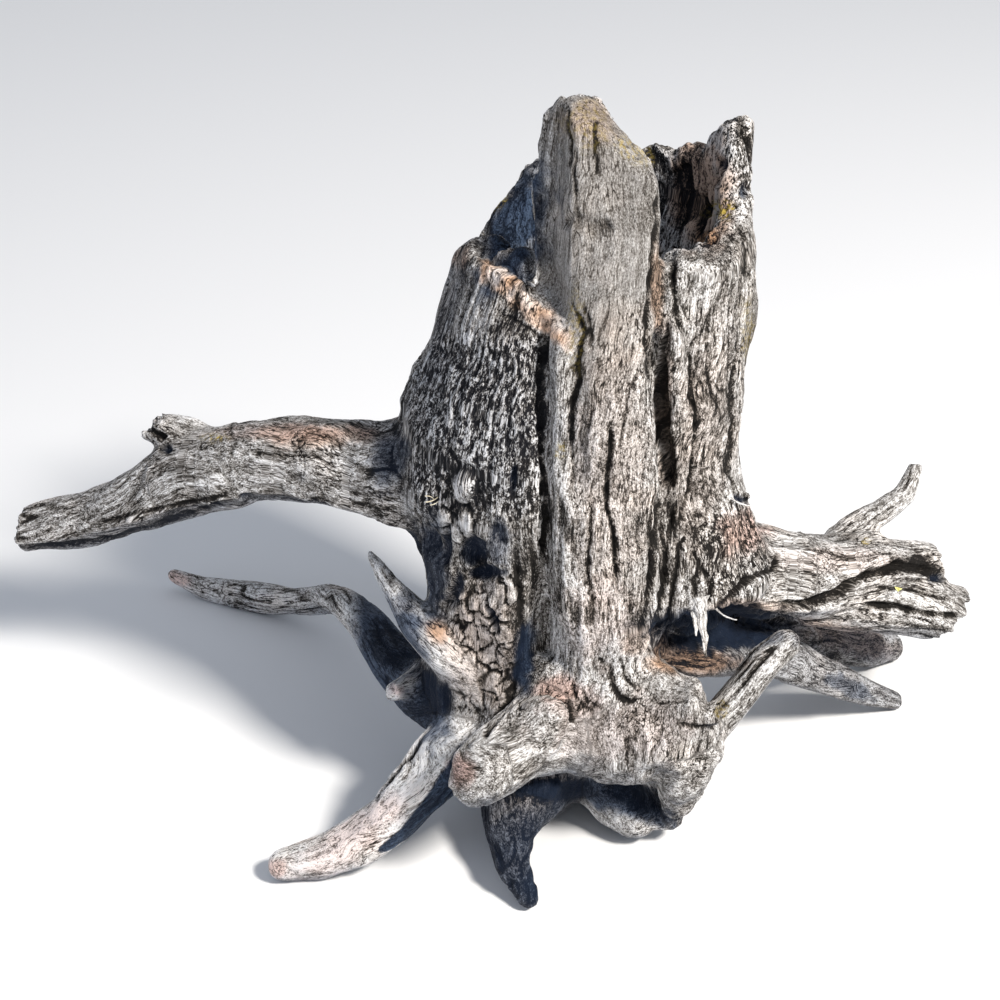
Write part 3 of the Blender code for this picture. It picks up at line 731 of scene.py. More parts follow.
def traced_splits(u, v, places):
    """How deep the traced splits are at each place, in millimetres, and how dark they are painted, from 0 to
    1: the dark of the cracks, with painted shade in some.
    """
    aside = 2.0 * blotches(places, SPLIT_WANDER)
    broken = 0.8 + 0.6 * blotches(places, SPLIT_BREAKS)
    deep = np.zeros(len(u))
    dark = np.zeros(len(u))
    for points, half, depth, darkness in SPLITS:
        gap, share = pixel_gap(u + aside, v, points)
        ends = spread(0.0, 0.12, share) * spread(1.0, 0.88, share)
        width = half * np.clip(broken + 0.3, 0.6, 1.4)
        reach = depth * ends * np.clip(broken, 0.3, 1.2)
        deep = np.maximum(deep, reach * (1.0 - spread(0.3, 1.2, gap / width)))
        crack_dark_and_shade = darkness * ends * np.clip(broken, 0.3, 1.0)
        dark = np.maximum(dark, crack_dark_and_shade * (1.0 - spread(0.4, 1.3, gap / width)))
    return deep, dark


def cleft(u, v):
    """1 inside the open cleft, which runs to a point at its top."""
    gap, share = pixel_gap(u, v, CLEFT)
    width = CLEFT_HALF * spread(-0.1, 0.5, share)
    return (1.0 - spread(0.75, 1.1, gap / width)) * spread(0.0, 0.05, share) * spread(1.0, 0.9, share)


# Patterns along the grain: the size of a cell across and along it, in metres, and the seed.
BROAD_WAVES, STRANDS = (0.022, 0.20, 7), (0.0042, 0.035, 17)
FLUTES, RIDGES = (0.017, 0.22, 11), (0.0095, 0.10, 13)
CHECKS, PITS = (0.016, 0.24, 23), (0.0036, 0.0080, 41)
STRINGS, DECAY_HOLES = (0.009, 0.06, 71), (0.016, 0.03, 73)
# Patterns that take no notice of the grain: the size of a cell in metres and the seed.
ROOT_LUMPS, TRUNK_LUMPS = (0.045, 5), (0.05, 5)
CHECK_PLACES, ROT_PATCHES = (0.07, 25), (0.08, 43)
PLATE_HEIGHTS, BARK_CHIPS, BARK_EDGE = (0.018, 55), (0.008, 57), (0.014, 59)
LEDGE_EDGE, LEDGE_STAIN = (0.010, 65), (0.015, 67)
HOLE_EDGE, HOLE_FRAY = (0.012, 61), (0.006, 63)
STAIN_EDGE, STAIN_FRAY = (0.022, 91), (0.008, 93)
ROOT_SHADE_PATCHES, TAN_PATCHES = (0.05, 95), (0.06, 97)
# How far the grain winds about, in metres: on plain and knotty roots, on the trunk and by its knots.
ROOT_SWAY, KNOTTY_SWAY, TRUNK_SWAY, KNOT_SWAY = 0.0025, 0.008, 0.004, 0.009
# Bark plates, longer along the trunk: cells to the metre and the seed, and how far their seams wander.
PLATE_CELLS, PLATE_SEED, PLATE_WANDER = (1 / 0.017, 1 / 0.017, 1 / 0.026), 53, 0.006


def blotches(places, pattern):
    """Noise that takes no notice of the grain."""
    size, seed = pattern
    return wave(places / size, seed)


def along_grain(grain, pattern):
    """Noise that is drawn out along the grain."""
    across, along, seed = pattern
    return wave(np.hstack([grain[:, :2] / across, grain[:, 2:] / along]), seed)


def grooves(grain, pattern):
    """Rounded ridges with narrow grooves between them: -0.5 in a groove and about 0.5 on a ridge."""
    return np.minimum(np.abs(along_grain(grain, pattern)) * 2.4, 1.0) - 0.5


def wander(places, size, seed, turns):
    """Smooth drifts of -1 to 1 on as many axes as there are turns, each turn with a pattern of its own."""
    return np.stack([wave(places / size + turn, seed + turn) for turn in turns], 1)


def swirled(name, grain, places):
    """The grain of a root or of the trunk as it winds round its knots."""
    sway = KNOTTY_SWAY if name in KNOTTY_ROOTS else ROOT_SWAY
    if name == TRUNK:
        u, v = seen_at(places)
        knotty = np.maximum(region(oval(u, v, *BURL), 0.3), region(oval(u, v, *RIGHT_WALL), 0.3))
        sway = (TRUNK_SWAY + KNOT_SWAY * knotty)[:, None]
    return np.hstack([grain[:, :2] + wander(places, 0.05, 31, (0, 9)) * sway, grain[:, 2:]])


def fissures(grain, places):
    """Open checks that run along the grain here and there: 1 inside one."""
    lines = np.abs(along_grain(grain, CHECKS))
    return (1.0 - spread(0.02, 0.11, lines)) * spread(-0.05, 0.35, blotches(places, CHECK_PLACES))


def wood_ridges(grain):
    """The ridges of bare weathered wood, from broad waves to single strands, each about -0.5 to 0.5."""
    broad, strand = along_grain(grain, BROAD_WAVES), along_grain(grain, STRANDS) * 0.6
    return broad, grooves(grain, FLUTES), grooves(grain, RIDGES), strand


def bark_plates(places):
    """Cracked bark: the seams between its plates, and how the plates and their chips stand."""
    warped = places + PLATE_WANDER * wander(places, 0.014, 51, (0, 5, 9))
    first, second = cells_apart(warped * PLATE_CELLS, PLATE_SEED)
    seam = 1.0 - spread(0.02, 0.10, second - first)
    return seam, blotches(places, PLATE_HEIGHTS), blotches(warped, BARK_CHIPS)


# Heights are in millimetres and tones run from 0, dark, to 1, bleached. How high the lumps, waves, flutes,
# ridges and strands of a root stand, and how much lighter its last three orders are than their grooves.
LIMB_HEIGHTS = (2.0, 1.4, 1.7, 1.0, 0.6)
LIMB_TONES = (0.15, 0.17, 0.15)
# The same for the trunk, where the lumps and waves are as high all over and the rest is highest where harsh.
TRUNK_SWELLS = (1.8, 1.4)
TRUNK_HEIGHTS = (2.6, 1.8, 1.0)
TRUNK_TONES = (0.16, 0.19, 0.13)
CHECK_DEPTH = 1.8
# The height above the ground, in metres, where the bark of the claw root begins and is full.
CLAW_BARK = (0.05, 0.11)


def weighed(patterns, weights):
    """Patterns of ridges added up, each with its own weight."""
    return sum(pattern * weight for pattern, weight in zip(patterns, weights))


def limb_carving(name, grain, places):
    """The cuts and the tone of a root or branch, which the sea has worn smoother than the trunk."""
    broad, flute, ridge, strand = wood_ridges(grain)
    lump = blotches(places, ROOT_LUMPS)
    girth = np.clip(row_lengths(grain[:, :2]) / FULL_GIRTH, 0.3, 1.0)
    cut = girth * weighed((lump, broad, flute, ridge, strand), LIMB_HEIGHTS)
    check = fissures(grain, places) * (0.35 if name in KNOTTY_ROOTS else 1.0)
    plain = 0.8 if name in KNOTTY_ROOTS else 1.0
    of_flute, of_ridge, of_strand = LIMB_TONES
    tone = 0.63 + of_flute * flute + plain * (of_ridge * ridge + of_strand * strand) - 0.5 * check
    # Whole roots lighter or darker; for the claw root this is painted shade.
    tone += ROOT_TONES.get(name, 0.0)
    if name == "claw_root":
        seam, plate, chip = bark_plates(places)
        high = spread(*CLAW_BARK, places[:, 2])
        cut += high * (1.0 - 3.2 * seam + 1.6 * plate + chip)
        tone += high * (0.26 - 0.6 * seam + 0.15 * chip)
    return cut - girth * CHECK_DEPTH * check, tone, np.full(len(places), 0.45 * plain)


def trunk_carving(grain, places, front, inner, u, v):
    """The cuts and the tone of the trunk: grey fibres, splits, pitted rot, bark plates and the hollow, with
    painted shade in the recess and painted light on the hollow's inner wall.
    """
    face = front * (1.0 - inner)
    right_wall = region(oval(u, v, *RIGHT_WALL), 0.3) * face
    burl = region(oval(u, v, *BURL), 0.3) * face
    broad, flute, ridge, strand = wood_ridges(grain)
    worn = region(oval(u, v, *WORN_COLUMN), 0.35) * face
    silky = region(oval(u, v, *SILKY_TONGUE), 0.35) * face
    harsh = 1.0 - 0.45 * worn - 0.25 * silky
    # The rotted left face lies between the ledge, the long split, the bark and the trunk's edge.
    left_face = face * spread(*LEFT_FACE_RIGHT, u) * spread(*LEFT_FACE_TOP, v)
    left_face *= spread(*LEFT_FACE_BOTTOM, v) * spread(*LEFT_FACE_LEFT, u)
    check = fissures(grain, places) * (1.0 - np.maximum(silky, left_face))
    cut = weighed((blotches(places, TRUNK_LUMPS), broad), TRUNK_SWELLS)
    cut = cut + harsh * weighed((flute, ridge, strand), TRUNK_HEIGHTS) - CHECK_DEPTH * check
    low = spread(*PALE_BASE_TOP, v) * spread(*PALE_BASE_LEFT, u) * face
    tone = 0.53 - 0.03 * silky + 0.12 * worn * (1.0 - silky) + 0.13 * low + 0.07 * right_wall
    tone += harsh * weighed((flute, ridge, strand), TRUNK_TONES) - 0.35 * check

    pits = spread(-0.05, 0.42, along_grain(grain, PITS))
    patchy = spread(0.05, 0.5, blotches(places, ROT_PATCHES)) * (1.0 - face)
    rot = np.maximum.reduce([left_face, 0.8 * patchy, 0.65 * burl, 0.4 * right_wall])
    cut -= rot * pits * 1.7
    tone += rot * (0.13 - 0.56 * pits) - 0.05 * burl

    seam, plate, chip = bark_plates(places)
    bark = np.zeros(len(u))
    edge = 0.30 * blotches(places, BARK_EDGE)
    for patch in BARK_PATCHES:
        bark = np.maximum(bark, face * region(oval(u, v, *patch) + edge))
    cut += bark * (2.2 - 3.6 * seam + 2.2 * plate + 1.4 * chip - flute - ridge)
    tone = tone * (1.0 - bark) + bark * (0.66 - 0.75 * seam + 0.14 * plate + 0.24 * chip)

    open_cleft = face * cleft(u, v)
    cut = cut * (1.0 - open_cleft) - CLEFT_DEPTH_MM * open_cleft
    tone = tone * (1.0 - open_cleft) + 0.22 * open_cleft
    gap, share = pixel_gap(u, v, RECESS)
    recess = face * (1.0 - spread(0.3, 1.2, gap / RECESS_HALF)) * spread(0.0, 0.1, share)
    cut -= 3.0 * recess
    # Painted shade in the recess.
    tone -= 0.05 * recess
    knot = face * (1.0 - spread(0.3, 1.05, oval(u, v, *KNOT)))
    moat = face * region(np.abs(oval(u, v, *KNOT) - 1.25) / 0.25, 0.5)
    cut += 7.0 * knot - 2.5 * moat
    tone = tone * (1.0 - knot) + knot * (0.80 + 0.12 * chip) - 0.3 * moat
    for lump_at in DARK_LUMPS:
        cut += 8.0 * face * (1.0 - spread(0.2, 1.1, oval(u, v, *lump_at) + edge))

    # The ledge: the wood above its line is gone, and a crumbly band runs along the break.
    below = v - np.interp(u, *zip(*LEDGE))
    over = face * spread(*DROP_BOTTOM, below) * spread(*DROP_LEFT, u)
    over *= spread(*DROP_TOP, below) * spread(*DROP_RIGHT, u)
    cut -= LEDGE_DROP_MM * over
    crumbly = np.abs(below - BAND_MIDDLE) / LEDGE_BAND + 0.5 * blotches(places, LEDGE_EDGE)
    broken = face * (1.0 - spread(0.6, 1.1, crumbly)) * spread(*BAND_LEFT, u) * spread(*BAND_RIGHT, u)
    cut += broken * (0.4 + 1.8 * chip - 1.4 * pits)
    tone += broken * (0.26 + 0.10 * chip - 0.28 * pits)

    # The hollow's wall and the knob of the right rim have decayed to strings with holes between them.
    strings = along_grain(grain, STRINGS)
    holes = spread(0.10, 0.42, along_grain(grain, DECAY_HOLES))
    knob = region(oval(u, v, *RIM_KNOB), 0.3) * front
    decay = np.maximum(inner, knob)
    cut += decay * (strings * 3.2 - holes * 5.5) * spread(*DECAY_LEFT, u)
    # The hollow's inner wall is painted lighter: painted light where the light reaches into it.
    tone += decay * (0.26 * strings - 0.4 * holes) + 0.15 * inner + 0.14 * knob
    pitting = np.maximum.reduce([rot, 0.8 * decay, 0.45 - 0.35 * silky])
    pitting = pitting * (1.0 - 0.6 * bark) * (1.0 - open_cleft) * (1.0 - 0.5 * knot)
    return cut, tone, pitting, broken


def stained_and_shaded(kind, u, v, places, front):
    """How strongly each place carries one kind of stain, the painted shade being one of the kinds."""
    ragged = 0.45 * blotches(places, STAIN_EDGE) + 0.25 * blotches(places, STAIN_FRAY)
    total = np.zeros(len(u))
    for *patch, strength in STAINS_AND_SHADE[kind]:
        total = np.maximum(total, strength * front * region(oval(u, v, *patch) + ragged, 0.5))
    return total


def deepen(stains_and_shade, kind, strength):
    """Brings one kind of stain, the painted shade among them, up to a strength wherever it is fainter."""
    stains_and_shade[kind] = np.maximum(stains_and_shade[kind], strength)


def carving(name, grain, places, normals):
    """How far the weather has cut into one root or the trunk, in metres, and the looks that this leaves, with
    painted shade where the wood lies in shade.
    """
    u, v = seen_at(places)
    front = spread(*FRONT_FACING, normals[:, 1] - FRONT_TILT * normals[:, 2])
    inner = np.zeros(len(u))
    stains_and_shade = {kind: stained_and_shaded(kind, u, v, places, front) for kind in STAINS_AND_SHADE}
    if name == TRUNK:
        outward = places[:, :2] - HOLLOW_AXIS
        distance = row_lengths(outward)
        facing = row_dots(normals[:, :2], outward) / np.maximum(distance, MM)
        inner = spread(*HOLLOW_FACING, facing) * spread(*HOLLOW_FLOOR, places[:, 2])
        inner *= spread(*HOLLOW_REACH, distance)
        cut, tone, pitting, broken = trunk_carving(grain, places, front, inner, u, v)
        deepen(stains_and_shade, "heartwood", broken * (0.65 + 0.6 * blotches(places, LEDGE_STAIN)))
        # No painted shade on the broken ledge, and a little in the hollow.
        stains_and_shade["damp"] *= 1.0 - broken
        deepen(stains_and_shade, "damp", 0.2 * inner)
    else:
        cut, tone, pitting = limb_carving(name, grain, places)
    deep, dark = traced_splits(u, v, places)
    cut -= (front * (1.0 - inner)) * deep
    # The splits darken the tone: the dark of the cracks, and painted shade in some.
    tone -= (front * (1.0 - inner)) * 0.7 * dark
    edge = 0.30 * blotches(places, HOLE_EDGE) + 0.15 * blotches(places, HOLE_FRAY)
    for *rotted, depth in ROT_HOLES:
        hole = front * (1.0 - spread(0.4, 1.15, oval(u, v, *rotted) + edge))
        cut -= (depth if name == TRUNK else min(depth, ROOT_HOLE_MM)) * hole
        # Painted shade in the hollow: darker tone and the blue-grey of the painted shade.
        tone -= 0.18 * hole
        deepen(stains_and_shade, "damp", 0.8 * hole)
    # Painted shade under the burl and the arch, darker and blue-grey.
    for shaded in GLOOM if name not in LIT_ROOTS else ():
        hidden = region(oval(u, v, *shaded) + edge, 0.3) * (places[:, 1] < 0.0)
        tone -= 0.34 * hidden
        deepen(stains_and_shade, "damp", 0.95 * hidden)
    # Painted shade on the flank of the front left root that the foot shades.
    if name == "front_left_root":
        gap, share = pixel_gap(u, v, SHADED_FLANK)
        width = FLANK_WIDTH * np.sqrt(1.02 - share)
        flank = (1.0 - spread(0.8, 1.15, gap / width + 0.3 * edge)) * spread(0.0, 0.06, share)
        tone -= 0.24 * flank
        deepen(stains_and_shade, "damp", flank)
    sawn = front * (1.0 - spread(0.75, 1.05, oval(u, v, *STUB_END)))
    tone -= 0.22 * sawn
    deepen(stains_and_shade, "lichen", 0.35 * sawn)
    # Painted shade on the undersides, and on the roots that lie under the trunk, patchy.
    under = 0.5 * spread(-0.15, -0.85, normals[:, 2])
    shade = SHADED_ROOTS.get(name, 0.0) * (0.8 + 0.4 * blotches(places, ROOT_SHADE_PATCHES))
    if name == "claw_root":
        high = spread(*CLAW_BARK, places[:, 2])
        shade *= 1.0 - 0.6 * high
        deepen(stains_and_shade, "heartwood", 0.45 * high)
    # The painted shadow that the trunk casts on the wavy root.
    if name == "wavy_root":
        shade = shade + 0.95 * spread(*WAVY_ROOT_SHADE, u)
    deepen(stains_and_shade, "damp", np.maximum(under, shade))
    stains_and_shade["damp"] = np.clip(stains_and_shade["damp"], 0.0, 1.0)
    deepen(stains_and_shade, "heartwood", 0.30 * spread(0.1, 0.6, blotches(places, TAN_PATCHES)) * (1.0 - front))
    return cut * MM, np.column_stack([tone, pitting, *stains_and_shade.values()])


# Roots that end broken off: how much of the rounded tip is gone, and how unevenly its fibres stand, in mm.
BROKEN_ENDS = {
    "left_limb": (8, 9),
    "left_limb_snag": (6, 9),
    "right_root": (7, 11),
    "right_prong": (9, 12),
    "upturned_twig": (2, 5),
    "lower_right_root": (3, 4),
    "side_snag": (3, 3),
}
# The fibres of a torn end, as a pattern along the grain, and how far from the tip of a root its end may be
# cut back, in metres.
TORN_FIBRES, TIP_REACH = (0.007, np.inf, 101), 0.06


def broken_back(name, grain, places):
    """How far each place at a root's tip moves back, so that the root ends in torn fibres."""
    gone, uneven = BROKEN_ENDS[name]
    before, tip = stations_of(name)[-3:-1]
    aim = (tip - before) / np.linalg.norm(tip - before)
    ahead = (places - tip) @ aim
    limit = (-gone + uneven * 0.7 * along_grain(grain, TORN_FIBRES)) * MM
    near = row_lengths(places - tip) < TIP_REACH
    return -aim * (np.maximum(ahead - limit, 0.0) * near)[:, None]


# How the skin's marks are shared near a fork: rounds of spreading for the marks and for the line that parts
# two pieces, and the least share that counts.
SHARE_ROUNDS, PART_ROUNDS = 3, 4
LEAST_SHARE = 0.02


@lru_cache(maxsize=None)
def dressed_skin():
    """The whole stump's fine skin, carved, with the owner and the grain of every vertex."""
    coarse = largest_skin(remeshed(joined_solids(), COARSE_VOXEL))
    coarse, shares = rounded_off(coarse)
    tree = KDTree(len(coarse.vertices))
    for k, place in enumerate(spots(coarse).tolist()):
        tree.insert(place, k)
    tree.balance()
    sizes = bpy.context.scene.driftwood_sizes
    skin = largest_skin(remeshed(coarse, sizes.skin_step))
    places = spots(skin)
    edges = edges_of(skin)
    shares = shares[[tree.find(place)[1] for place in places.tolist()]]
    for _ in range(SHARE_ROUNDS):
        shares = averaged(shares, edges)
    # Near a fork the marks of the wood that a place belongs to run over into those of the wood beside it.
    order = np.argsort(shares, axis=1)
    own, beside = order[:, -1], order[:, -2]
    rows = np.arange(len(places))
    first, second = shares[rows, own], shares[rows, beside]
    mix = np.where(second > LEAST_SHARE, second / (first + second), 0.0)
    grains = {name: np.zeros((len(places), 3)) for name in GRAINS}
    cut = np.zeros(len(places))
    looks = np.zeros((len(places), len(LOOKS)))
    shift = np.zeros((len(places), 3))
    normals = normals_of(skin)
    for k, name in enumerate(NAMES):
        for which, grain, share in zip((own, beside), grains.values(), (1.0 - mix, mix)):
            here = (which == k) & (share > 0.0)
            if not here.any():
                continue
            grain[here] = swirled(name, grain_of(name, places[here]), places[here])
            piece_cut, piece_looks = carving(name, grain[here], places[here], normals[here])
            cut[here] += share[here] * piece_cut
            looks[here] += share[here, None] * piece_looks
            if name in BROKEN_ENDS:
                shift[here] += share[here, None] * broken_back(name, grain[here], places[here])
    soft = np.eye(len(NAMES))[own]
    for _ in range(PART_ROUNDS):
        soft = averaged(soft, edges)
    places = places + normals * (cut * sizes.carving)[:, None] + shift
    places[:, 2] = np.maximum(places[:, 2], 0.0)
    move(skin, places)
    kept = {**grains, "grain_mix": mix, **dict(zip(LOOKS, np.clip(looks, 0.0, 1.0).T))}
    for name, values in {**kept, "smooth_normal": normals_of(skin)}.items():
        keep_values(skin, name, values)
    corners = read(skin.loops, "vertex_index", 1, np.int32)
    starts = read(skin.polygons, "loop_start", 1, np.int32)
    part = soft.argmax(axis=1)
    skin.polygons.foreach_set("material_index", part[corners[starts]].astype(np.int32))
    return skin


def keep_values(mesh, name, values):
    """Stores a number or a vector for every vertex under a name that the materials read."""
    kind, key = ("FLOAT", "value") if values.ndim == 1 else ("FLOAT_VECTOR", "vector")
    attribute = mesh.attributes.new(name, kind, "POINT")
    attribute.data.foreach_set(key, values.astype(np.float32).ravel())


@lru_cache(maxsize=None)
def parted_skin():
    """The skin cut into one mesh for the trunk and for each root and branch, by name."""
    whole = shown(dressed_skin(), "driftwood skin")
    for name in NAMES:
        whole.data.materials.append(bpy.data.materials.new("part " + name))
    before = set(bpy.data.objects)
    for thing in bpy.context.selected_objects:
        thing.select_set(False)
    whole.select_set(True)
    bpy.context.view_layer.objects.active = whole
    bpy.ops.object.mode_set(mode="EDIT")
    bpy.ops.mesh.separate(type="MATERIAL")
    bpy.ops.object.mode_set(mode="OBJECT")
    found = {}
    for thing in [whole] + [o for o in bpy.data.objects if o not in before]:
        material = thing.data.materials[thing.data.polygons[0].material_index]
        found[material.name.removeprefix("part ")] = thing.data
        bpy.data.objects.remove(thing)
    for name in NAMES:
        found[name].materials.clear()
        bpy.data.materials.remove(bpy.data.materials["part " + name])
    return found


# How deep a part's rim is sunk into the wood that it was cut from, in metres.
RIM_DEPTH = 0.005


def inside_of(name, place):
    """The point of a root's middle line that is nearest to a place."""
    line = middle_line(name)[0]
    starts, runs = line[:-1], np.diff(line, axis=0)
    share = np.clip(((np.array(place) - starts) * runs).sum(axis=1) / (runs**2).sum(axis=1), 0.0, 1.0)
    points = starts + share[:, None] * runs
    return Vector(points[row_lengths(points - np.array(place)).argmin()])


def rims_of(bm):
    return [edge for edge in bm.edges if edge.is_boundary]


def fill_rims(bm, rims):
    """Closes a piece over the edges of its openings."""
    caps = bmesh.ops.holes_fill(bm, edges=rims, sides=0)["faces"]
    bmesh.ops.triangulate(bm, faces=caps)


def grown_from(bm, rims):
    """Draws a band of new faces out of a rim, and gives the vertices of its new edge."""
    grown = bmesh.ops.extrude_edge_only(bm, edges=rims)["geom"]
    return [item for item in grown if isinstance(item, bmesh.types.BMVert)]


def close_rims(bm, name):
    """Closes a part inside the wood, where it was cut from its neighbours."""
    normal = bm.verts.layers.float_vector["smooth_normal"]
    # Two openings that meet at one vertex are parted, so that each rim is a loop of its own.
    for vert in bm.verts[:]:
        rim = [edge for edge in vert.link_edges if edge.is_boundary]
        if len(rim) > 2:
            bmesh.utils.vert_separate(vert, rim)
    for vert in grown_from(bm, rims_of(bm)):
        vert.co -= vert[normal] * RIM_DEPTH
    if name == TRUNK:
        fill_rims(bm, rims_of(bm))
    done = set()
    for start in rims_of(bm):
        if start in done:
            continue
        loop, todo = [], [start]
        while todo:
            edge = todo.pop()
            if edge not in done:
                done.add(edge)
                loop.append(edge)
                todo += [e for vert in edge.verts for e in vert.link_edges if e.is_boundary]
        inner = grown_from(bm, loop)
        middle = sum((vert.co for vert in inner), Vector()) / len(inner)
        if name != TRUNK:
            girth = max((vert.co - middle).length for vert in inner)
            inward = inside_of(name, middle) - middle
            middle += inward * min(1.0, girth / max(inward.length, WELD))
        bmesh.ops.pointmerge(bm, verts=inner, merge_co=middle)


def cut_off(bm, place, kept):
    """Cuts a closed piece at a plane, keeps the side that the arrow points to and closes it there."""
    everything = bm.verts[:] + bm.edges[:] + bm.faces[:]
    cut = bmesh.ops.bisect_plane(
        bm, geom=everything, plane_co=place, plane_no=kept, clear_inner=True
    )["geom_cut"]
    fill_rims(bm, [item for item in cut if isinstance(item, bmesh.types.BMEdge)])


def finished_piece(node, name, cuts=()):
    """The skin of one node, or a part of it, as a closed piece with its material that rides on the stump."""
    bm = bmesh.new()
    bm.from_mesh(parted_skin()[node])
    close_rims(bm, node)
    for place, kept in cuts:
        cut_off(bm, place, kept)
    for face in bm.faces:
        face.material_index = 0
        face.smooth = True
    thing = shown(as_mesh(bm, name), name)
    thing.data.materials.append(weathered_wood())
    kept = thing.data.attributes["smooth_normal"]
    values = read(kept.data, "vector", 3, np.float32)
    thing.data.attributes.remove(kept)
    thing.data.normals_split_custom_set_from_vertices(values.tolist())
    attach(thing, BODY)
    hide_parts(node)


def linear(colour):
    """An sRGB hex colour as the linear values that a shader takes."""
    parts = [int(colour[k : k + 2], 16) / 255.0 for k in (1, 3, 5)]
    return [p / 12.92 if p <= 0.04045 else ((p + 0.055) / 1.055) ** 2.4 for p in parts]


def add(tree, kind, settings=None, links=None):
    """Adds one node, sets its properties and sockets, links its inputs, and gives the node back."""
    node = tree.nodes.new("ShaderNode" + kind)
    for key, value in (settings or {}).items():
        if isinstance(key, str) and hasattr(node, key):
            setattr(node, key, value)
        else:
            node.inputs[key].default_value = value
    for key, socket in (links or {}).items():
        tree.links.new(node.inputs[key], socket)
    return node


def blank(name):
    """A new material and its empty tree of nodes."""
    material = bpy.data.materials.new(name)
    material.use_nodes = True
    material.node_tree.nodes.clear()
    return material, material.node_tree


def surfaced(tree, settings, links):
    """Ends a material with its shader and its output."""
    shader = add(tree, "BsdfPrincipled", settings, links)
    add(tree, "OutputMaterial", {}, {"Surface": shader.outputs[0]})


def set_stops(ramp, stops):
    """Gives a ramp of two colours its stops, each a place on it and a linear colour."""
    elements = ramp.color_ramp.elements
    elements[0].position, elements[1].position = stops[0][0], stops[-1][0]
    for place, _ in stops[1:-1]:
        elements.new(place)
    for element, (_, colour) in zip(elements, stops):
        element.color = (*colour, 1.0)


# Weathered conifer wood is dry and matt: it reflects little, and its worn crests a little more than the rest.
WOOD_IOR = 1.45
GRAINS = ("grain", "grain_beside")
# The wood's finest marks: their size in metres across and along the grain, and their detail.
FINE_MARKS = {
    "fibre": (0.0012, 0.020, 3.0),
    "grit": (0.0012, 0.0020, 2.0),
    "crack": (0.0060, 0.065, 1.3),
    "pit": (0.0030, 0.0070, 1.0),
}
# Marks that take no notice of the grain: the crust that lichen breaks up into, and broad patches that have
# bleached more or less. Sizes in metres.
BROAD_MARKS = {"crust": 0.0045, "patch": 0.060}
# How the marks make the wood. Each row gives a value its name, and then the sum or the node that makes it
# and what that works on: marks, looks and values of rows before it by name, and plain numbers. What isn't
# one of the NODES is a sum.
NODES = ("MapRange", "Clamp")
BLENDS = (
    ("crack", "SUBTRACT", "crack", 0.5),
    ("crack", "ABSOLUTE", "crack"),
    ("crack", "MapRange", "crack", 0.040, 0.0),
    ("crowded", "MapRange", "patch", 0.40, 0.64),
    ("harsh", "ADD", "pitting", 0.34),
    ("crack", "MULTIPLY", "crack", "crowded"),
    ("crack", "MULTIPLY", "crack", "harsh"),
    ("pit", "MapRange", "pit", 0.50, 0.62),
    ("pit", "MULTIPLY", "pit", "pitting"),
    ("fibre_tone", "SUBTRACT", "fibre", 0.50),
    ("grit_tone", "MULTIPLY_ADD", "grit", 1.4, -0.70),
    ("patch_tone", "MULTIPLY_ADD", "patch", 0.35, -0.175),
    ("light", "ADD", "fibre_tone", "grit_tone"),
    ("light", "MULTIPLY_ADD", "light", "harsh", "patch_tone"),
    ("light", "MULTIPLY_ADD", "crack", -0.70, "light"),
    ("light", "MULTIPLY_ADD", "pit", -0.42, "light"),
    ("light", "ADD", "light", "tone"),
    ("crust", "MULTIPLY_ADD", "crust", 6.0, -2.6),
    ("crust", "MULTIPLY", "lichen", "crust"),
    ("crust", "Clamp", "crust"),
    # The darkest painted shade, where the gloom colour is mixed in.
    ("deepest", "MULTIPLY", "damp", 0.45),
    ("tanned", "MULTIPLY_ADD", "patch", 2.4, -1.1),
    ("height", "MULTIPLY_ADD", "grit", 0.6, "fibre"),
    ("height", "MULTIPLY_ADD", "crack", -0.5, "height"),
    ("height", "MULTIPLY_ADD", "pit", -0.9, "height"),
    ("rough", "MapRange", "fibre", 0.0, 1.0, 0.92, 0.70),
)
# The wood's colours from its darkest to its lightest, and the stains and painted shade over them: what shows
# where each one lies, how it is laid on and its colour. Stains and painted shade soak in and keep the fibres,
# and lichen lies over them.
SHADES = ((0.20, "crack"), (0.36, "shade"), (0.57, "silver"), (0.83, "bleached"))
TINTS = (
    ("heartwood", "MULTIPLY", "heartwood"),
    ("rose", "MULTIPLY", "rose"),
    ("damp", "MULTIPLY", "damp"),
    ("deepest", "MIX", "gloom"),
    ("tanned", "MULTIPLY", "warm"),
    ("crust", "MIX", "lichen"),
)
BUMP_DEPTH = 0.0014


